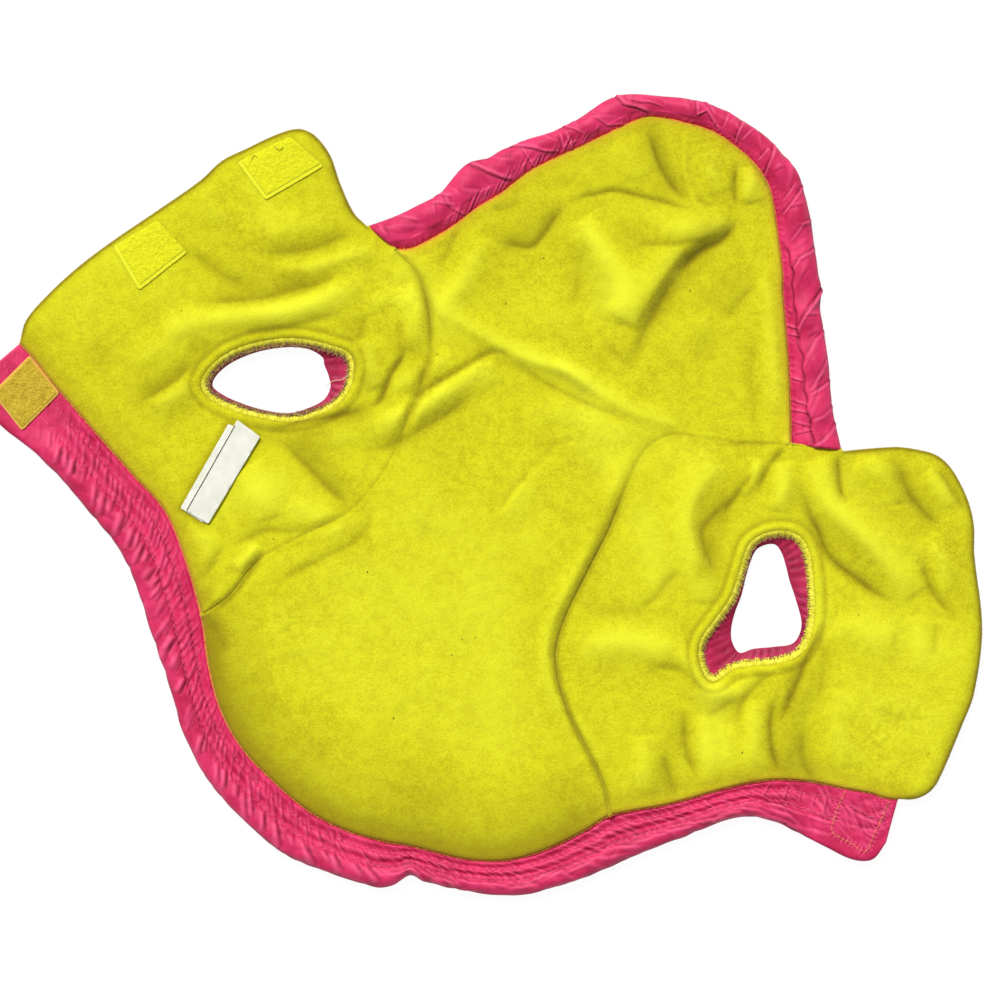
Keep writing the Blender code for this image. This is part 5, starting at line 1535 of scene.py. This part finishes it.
# threads, laid by Geometry Nodes along runs that are read off the finished surfaces
def laid(name, tree, points, closed=False, edges=None, values=None, **inputs):
    # the tree's result along the points, as a plain mesh
    if edges is None:
        edges = [(k, k + 1) for k in range(len(points) - 1)] + ([(len(points) - 1, 0)] if closed else [])
    piece = newObject(name, points, edges, [], values)
    modifier = piece.modifiers.new("threads", "NODES")
    modifier.node_group = tree
    sockets = {s.name: s.identifier for s in tree.interface.items_tree if s.in_out == "INPUT"}
    for key, value in inputs.items():
        modifier[sockets[key]] = value
    graph = bpy.context.evaluated_depsgraph_get()
    mesh = bpy.data.meshes.new_from_object(piece.evaluated_get(graph), depsgraph=graph)
    piece.modifiers.remove(modifier)
    piece.data = mesh
    mesh.shade_smooth()
    return piece


def newTree(name, *sizes):
    # a tree that takes a run of edges and sizes in metres, and the run as a curve in it
    inputs = [("Run", "Geometry"), *((size, "Float") for size in sizes), ("Seed", "Int"),
              ("Finish", "Material")]
    tree, given, result = newGroup("GeometryNodeTree", name, inputs, [("Pieces", "Geometry")])
    return tree, given, result, addNode(tree, "GeometryNodeMeshToCurve", {0: given["Run"]}).outputs[0]


def endTree(tree, given, result, pieces):
    real = addNode(tree, "GeometryNodeRealizeInstances", {0: pieces})
    inputs = {"Geometry": real.outputs[0], "Material": given["Finish"]}
    done = addNode(tree, "GeometryNodeSetMaterial", inputs)
    tree.links.new(done.outputs[0], result[0])
    return tree


def vector(tree, x=0.0, y=0.0, z=0.0):
    return addNode(tree, "ShaderNodeCombineXYZ", {0: x, 1: y, 2: z}).outputs[0]


def times(tree, value, factor):
    return maths(tree, "MULTIPLY", value, factor)


def anyBetween(tree, low, high, seed):
    inputs = {2: low, 3: high, "Seed": seed}
    return addNode(tree, "FunctionNodeRandomValue", inputs, data_type="FLOAT").outputs[1]


def placesAlong(tree, given, curve):
    inputs = {"Curve": curve, "Length": given["Pitch"]}
    return addNode(tree, "GeometryNodeCurveToPoints", inputs, mode="LENGTH").outputs


def facing(tree, given, places, **facts):
    # turned along the run, and swung a little to the left or right at random
    ahead = {"Vector": places["Tangent"]}
    turn = addNode(tree, "FunctionNodeAlignRotationToVector", ahead, axis="X", **facts)
    swing = anyBetween(tree, times(tree, given["Wobble"], -1.0), given["Wobble"], given["Seed"])
    inputs = {0: turn.outputs[0], 1: vector(tree, z=swing)}
    return addNode(tree, "FunctionNodeRotateRotation", inputs, rotation_space="LOCAL").outputs[0]


def tube(tree, curve, thickness, sides):
    ring = addNode(tree, "GeometryNodeCurvePrimitiveCircle",
                   {"Resolution": sides, "Radius": times(tree, thickness, 0.5)}, mode="RADIUS")
    return addNode(tree, "GeometryNodeCurveToMesh",
                   {"Curve": curve, "Profile Curve": ring.outputs[0], "Fill Caps": True}).outputs[0]


def bent(tree, start, middle, end, steps):
    return addNode(tree, "GeometryNodeCurveQuadraticBezier",
                   {"Resolution": steps, "Start": start, "Middle": middle, "End": end}).outputs[0]


def putOn(tree, places, piece, turn, **facts):
    inputs = {"Points": places[0], "Instance": piece, "Rotation": turn, **facts}
    return addNode(tree, "GeometryNodeInstanceOnPoints", inputs).outputs[0]


def makeStitchTree():
    tree, given, result, run = newTree("stitch run", "Pitch", "Stitch", "Thread", "Wobble")
    places = placesAlong(tree, given, run)
    bead = addNode(tree, "GeometryNodeMeshUVSphere", {"Segments": 8, "Rings": 6, "Radius": 1.0})
    thin = times(tree, given["Thread"], 0.5)
    size = vector(tree, times(tree, given["Stitch"], 0.5), thin, thin)
    stitch = addNode(tree, "GeometryNodeTransform", {"Geometry": bead.outputs[0], "Scale": size})
    return endTree(tree, given, result, putOn(tree, places, stitch.outputs[0], facing(tree, given, places)))


def makeOverlockTree():
    sizes = ("Pitch", "Width", "Rise", "Drop", "Thread", "Wobble")
    tree, given, result, run = newTree("overlock loops", *sizes)
    places = placesAlong(tree, given, run)
    half, thread = times(tree, given["Width"], 0.5), given["Thread"]
    arch = bent(tree, vector(tree, y=times(tree, half, -1.0), z=times(tree, given["Drop"], -1.0)),
                vector(tree, x=times(tree, thread, 0.6), z=times(tree, given["Rise"], 2.0)),
                vector(tree, y=half, z=times(tree, thread, -0.9)), 7)
    turn = facing(tree, given, places, pivot_axis="Z")
    size = anyBetween(tree, 0.82, 1.15, 5)
    return endTree(tree, given, result, putOn(tree, places, tube(tree, arch, thread, 6), turn, Scale=size))


# turned-in cloth that shows at the bottom of a seam, or any plain thread
def makeWeltTree():
    tree, given, result, run = newTree("seam welt", "Thickness")
    return endTree(tree, given, result, tube(tree, run, given["Thickness"], 8))


# fibres that stand out over a cut edge
def makeFuzzTree():
    tree, given, result, run = newTree("edge fuzz", "Pitch", "Length", "Thread")
    places = placesAlong(tree, given, run)
    low, high = vector(tree, -0.5, -0.9, -math.pi), vector(tree, 0.5, 0.2, math.pi)
    inputs = {0: low, 1: high, "Seed": given["Seed"]}
    turn = addNode(tree, "FunctionNodeRandomValue", inputs, data_type="FLOAT_VECTOR").outputs[0]
    size = anyBetween(tree, 0.4, 1.25, 3)
    length = given["Length"]
    arc = bent(tree, (0.0, 0.0, 0.0),
               vector(tree, times(tree, length, 0.55), times(tree, length, 0.2), times(tree, length, 0.3)),
               vector(tree, length, times(tree, length, -0.15)), 3)
    fibre = tube(tree, arc, given["Thread"], 3)
    return endTree(tree, given, result, putOn(tree, places, fibre, turn, Scale=size))


stitchTree, overlockTree = makeStitchTree(), makeOverlockTree()
weltTree, fuzzTree = makeWeltTree(), makeFuzzTree()
stitchSizes = {"Pitch": 0.0036, "Stitch": 0.0027, "Thread": 0.00042, "Wobble": 0.1}
overlockSizes = {"Pitch": 0.00062, "Width": 0.0046, "Rise": 0.0011, "Drop": 0.0024, "Thread": 0.00082,
                 "Wobble": 0.24}
fuzzSizes = {"Pitch": 0.0003, "Length": 0.0010, "Thread": 0.00011}


def rowOn(surface, across, lift):
    # the run of a stitching row on a band, at a distance round the profile from its seam
    grid, a = surface["grid"], surface["a"]
    row = np.array([[np.interp(across, a[i], grid[i, :, k]) for k in range(3)] for i in range(len(a))])
    for k in range(3):
        row[:, k] = np.convolve(np.pad(row[:, k], 2, mode="edge"), np.full(5, 0.2), mode="valid")
    row[:, 2] += lift
    return row


def onFleece(path, panel, lift):
    return np.column_stack([path, fleeceTop(path, panels[panel], fine=False) + lift])


collarStitches = []
for k, across in enumerate(collarShape["rows"], 1):
    row = rowOn(collarSurface, across, 0.12)[3:-50]
    sizes = dict(stitchSizes, Seed=k, Finish=threadPink)
    collarStitches.append(laid(f"collarStitchRow{k}", stitchTree, row, **sizes))
for name, points in boxSeams.items():
    path = curveThrough(points, 0.8)[0]
    top = collarSurface["grid"].reshape(-1, 3)
    z = [top[np.linalg.norm(top[:, :2] - spot, axis=1) < 1.1, 2].max() + 0.1 for spot in path]
    sizes = dict(stitchSizes, Seed=7, Pitch=0.0027, Wobble=0.35)
    sizes["Finish"] = threadOrange if name == "collarEndBox" else threadPink
    collarStitches.append(laid(name, stitchTree, np.column_stack([path, z]), **sizes))


def holeRing(name, panel, seed):
    loop = onFleece(evenLoop(movedIn(panels[panel]["loops"][1], 0.3), 1.0), panel, 0.15)
    return laid(name, overlockTree, loop, closed=True, Seed=seed, Finish=threadYellow, **overlockSizes)


leftOverlock = holeRing("leftHoleOverlock", "leftChest", 1)
rightOverlock = holeRing("rightHoleOverlock", "rightChest", 2)


# painted shade on the welts that lie in the seams
def evenShade(points):
    return np.full(len(points), 0.35)


def seamWelt(name, path, drop, thickness, shade=evenShade, panel="back", finish=fleeceFinish):
    return laid(name, weltTree, onFleece(path, panel, -drop), values={"paintedShade": shade(path)},
                Thickness=thickness * mm, Finish=finish)


# brushed pile closes over the seams between the panels, apart from where they are pulled in
coverShape = {"half": 5.0, "columns": 15, "taper": 0.8, "above": 0.14, "below": 0.16, "thick": 0.7,
              "valley": 1.3, "valleyShade": 0.30}


def seamCover(name, path, leftPanel, rightPanel, pulledIn):
    shape = coverShape
    path = path[1:-1]
    before = lengthAlong(path)
    half = np.minimum(shape["half"], 0.6 + shape["taper"] * np.minimum(before, before[-1] - before))[:, None]
    share = np.linspace(1.0, -1.0, shape["columns"])
    plan = path[:, None] + leftOf(path)[:, None] * (half * share)[..., None]
    spots = plan.reshape(-1, 2)
    left, right = (fleeceTop(spots, panels[k]).reshape(plan.shape[:2]) for k in (leftPanel, rightPanel))
    z = np.where(share > 0, left, np.where(share < 0, right, (left + right) / 2))
    depth = pulledIn(path)[:, None] * bell(half * share, shape["valley"])
    z = z + shape["above"] - (shape["above"] + shape["below"]) * share**2 - depth
    # the painted shade, painted highlight and blush of the nearest places on the two panels
    known = [panels[k]["skin"] for k in (leftPanel, rightPanel)]
    places = np.concatenate([points for points, _ in known])
    tree = KDTree(len(places))
    for k, (x, y) in enumerate(places):
        tree.insert((x, y, 0.0), k)
    tree.balance()
    near = np.array([[found[1] for found in tree.find_n((x, y, 0.0), 4)] for x, y in spots])
    values = {key: np.concatenate([skin[key] for _, skin in known])[near].mean(axis=1).reshape(z.shape)
              for key in known[0][1]}
    # painted shade deeper in the pulled-in valley
    values["paintedShade"] = np.clip(values["paintedShade"] + shape["valleyShade"] * depth, 0, 1)
    grid = np.concatenate([np.dstack([plan, z]), np.dstack([plan, z - shape["thick"]])[:, ::-1]], axis=1)
    values = {key: np.concatenate([v, v[:, ::-1]], axis=1) for key, v in values.items()}
    return bandMesh(name, grid, fleeceFinish, values)


def leftPulledIn(points):
    low, high = softStep((-28.0 - points[:, 1]) / 12.0), softStep((points[:, 1] - 66.0) / 20.0)
    return 0.5 * low + 0.35 * high


def rightPulledIn(points):
    return 0.85 * softStep((4.0 - points[:, 1]) / 26.0)


welts = [seamCover("leftSeamPile", leftSeam, "leftChest", "back", leftPulledIn),
         seamCover("rightSeamPile", rightSeam, "back", "rightChest", rightPulledIn),
         seamWelt("leftSeamWelt", leftSeam, 1.7, 3.0),
         seamWelt("rightSeamWelt", rightSeam, 1.7, 3.0, rightSeamShade),
         seamWelt("leftHemWelt", leftHemEnd, 1.5, 2.2, panel="leftChest"),
         seamWelt("rightHemWelt", rightHemEnd, 1.5, 2.2, panel="rightChest")]
for name, path, panel in (("hemSeamWelt", hemSeam, "back"),
                          ("leftNeckWelt", neckline[:atLeft + 1], "leftChest"),
                          ("backNeckWelt", neckline[atLeft - 1:atRight + 2], "back"),
                          ("rightNeckWelt", neckline[atRight:], "rightChest")):
    welts.append(seamWelt(name, path, 1.45, 1.7, panel=panel, finish=borderFinish))


# fibres of the fleece that stand out over its cut edges
def edgeFuzz(name, path, panel, seed, drop=0.35, closed=False, **sizes):
    inputs = dict(fuzzSizes, Seed=seed, Finish=fuzzFinish)
    return laid(name, fuzzTree, onFleece(path, panel, -drop), closed, **dict(inputs, **sizes))


def holeFuzz(name, panel, seed, **sizes):
    loop = evenLoop(movedIn(panels[panel]["loops"][1], -1.9), 0.8)
    return edgeFuzz(name, loop, panel, seed, drop=2.4, closed=True, Finish=brownFibres, **sizes)


leftRim = curveThrough(leftCuffRows, 0.8, closed=True)[0]
wide = np.flatnonzero(leftRim[:, 0] > -81.0)   # the cuff shows here, and hides behind worn fibres elsewhere
leftRim = np.concatenate([leftRim[wide[-1] + 1:], leftRim[:wide[0]]])
leftRim = leftRim[:, :2] + 0.55 * (leftRim[:, 2:] - leftRim[:, :2])
fuzz = [
    edgeFuzz("necklineFuzzLeft", neckline[3:atLeft + 1], "leftChest", 1),
    edgeFuzz("necklineFuzzBack", neckline[atLeft:atRight + 1], "back", 2),
    edgeFuzz("necklineFuzzRight", neckline[atRight:-3], "rightChest", 3),
    edgeFuzz("hemFuzz", hemSeam[2:-2], "back", 4),
    edgeFuzz("leftFlapFuzz", leftFlap[3:-3], "leftChest", 5, drop=0.9, Length=0.0006),
    edgeFuzz("rightFlapFuzz", rightFlap[3:-3], "rightChest", 6, drop=0.9, Length=0.0006),
    edgeFuzz("leftRimFuzz", leftRim, "leftChest", 9, drop=3.1, Pitch=0.00014, Length=0.0015, Thread=0.00024,
             Finish=brownFibres),
    holeFuzz("leftHoleFuzz", "leftChest", 7, Pitch=0.00013, Length=0.0017, Thread=0.00024),
    holeFuzz("rightHoleFuzz", "rightChest", 8, Pitch=0.00026, Length=0.0015, Thread=0.0002),
]

# lint and loose threads, where the photograph shows them
lint = [
    (77.5, 153.5), (-22.5, 70), (104, 102.5), (-3.5, -71), (-104, -22), (-57, -38), (-10, -72),
    (-15, -80), (-44, -111), (105, -27), (31, 118), (12, 96), (-150, 92), (188, -60), (130, -128),
]
specks = []
for k, (x, y) in enumerate(lint):
    panel = "leftChest" if x < -60 else "rightChest" if x > 110 and y < 20 else "back"
    turn, size = 2.1 * k, 0.35 + 0.25 * (k % 3)
    end = (x + size * math.cos(turn), y + size * math.sin(turn))
    specks.append(onFleece(np.array([(x, y), end]), panel, 0.25))
speckEdges = [(2 * k, 2 * k + 1) for k in range(len(specks))]


def looseThread(name, points, thickness, finish, lift):
    path = onFleece(curveThrough(points, 1.0)[0], "leftChest", lift)
    return laid(name, weltTree, path, Thickness=thickness * mm, Finish=finish)


loose = [
    laid("lintSpecks", weltTree, np.concatenate(specks), edges=speckEdges, Thickness=0.00042,
         Finish=threadDark),
    looseThread("tapeHairA", [(-115, 167), (-113.5, 169.5), (-112, 168)], 0.22, threadDark, 1.2),
    looseThread("tapeHairB", [(-103.5, 174), (-101.5, 172), (-99, 173.5)], 0.22, threadDark, 1.2),
    looseThread("holeThread", [(-78, 54), (-74, 57), (-70, 57.5), (-66, 60.5)], 0.3, threadPale, 0.8),
]
# grey line along the front label layer's left edge: a printed rule, and painted shadow where the front layer
# steps over the back
rulePath = np.array([(-123.2, 34.6), (-135.2, 13.4), (-147.2, -7.6)])
labelRuleAndShadow = laid("labelRuleAndShadow", weltTree, np.column_stack([rulePath, acrossFleece(labelPlane, 1.42)(rulePath)]),
                 Thickness=0.0005, Finish=threadGrey)
print("threads laid")


# what each piece stands for, and its finish
dress = [
    (backFleece, "yellow_fleece", "back_lining"), (leftFleece, "yellow_fleece", "left_chest_lining"),
    (rightFleece, "yellow_fleece", "right_chest_lining"), (backShell, "pink_nylon", "back_shell"),
    (leftShell, "pink_nylon", "left_chest_shell"), (rightShell, "pink_nylon", "right_chest_shell"),
    (collarBand, "pink_nylon", "collar"), (tailHem, "pink_nylon", "tail_hem"),
    (leftCuff, "pink_nylon", "left_leg_cuff"), (rightCuff, "pink_nylon", "right_leg_cuff"),
    (tapes["flapLoopNeck"], "yellow_loop_tape", "flap_loop_neck"),
    (tapes["flapLoopBelly"], "yellow_loop_tape", "flap_loop_belly"),
    (tapes["collarLoop"], "gold_loop_tape", "collar_loop"),
    (tapes["flapHookNeck"], "yellow_hook_tape", "flap_hook_neck"),
    (tapes["flapHookBelly"], "yellow_hook_tape", "flap_hook_belly"),
    (tapes["collarHook"], "yellow_hook_tape", "collar_hook"),
    (labelBack, "white_satin", "care_label"), (labelFront, "white_satin", None),
]
dress += [(threads, "pink_nylon", None) for threads in collarStitches]
dress += [(threads, "yellow_loop_tape", None) for threads in [leftOverlock, rightOverlock] + loose]
dress += [(piece, "yellow_fleece", None) for piece in welts + fuzz] + [(labelRuleAndShadow, "white_satin", None)]
for piece, slotName, node in dress:
    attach(piece, "root")
    if node:
        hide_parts(node)
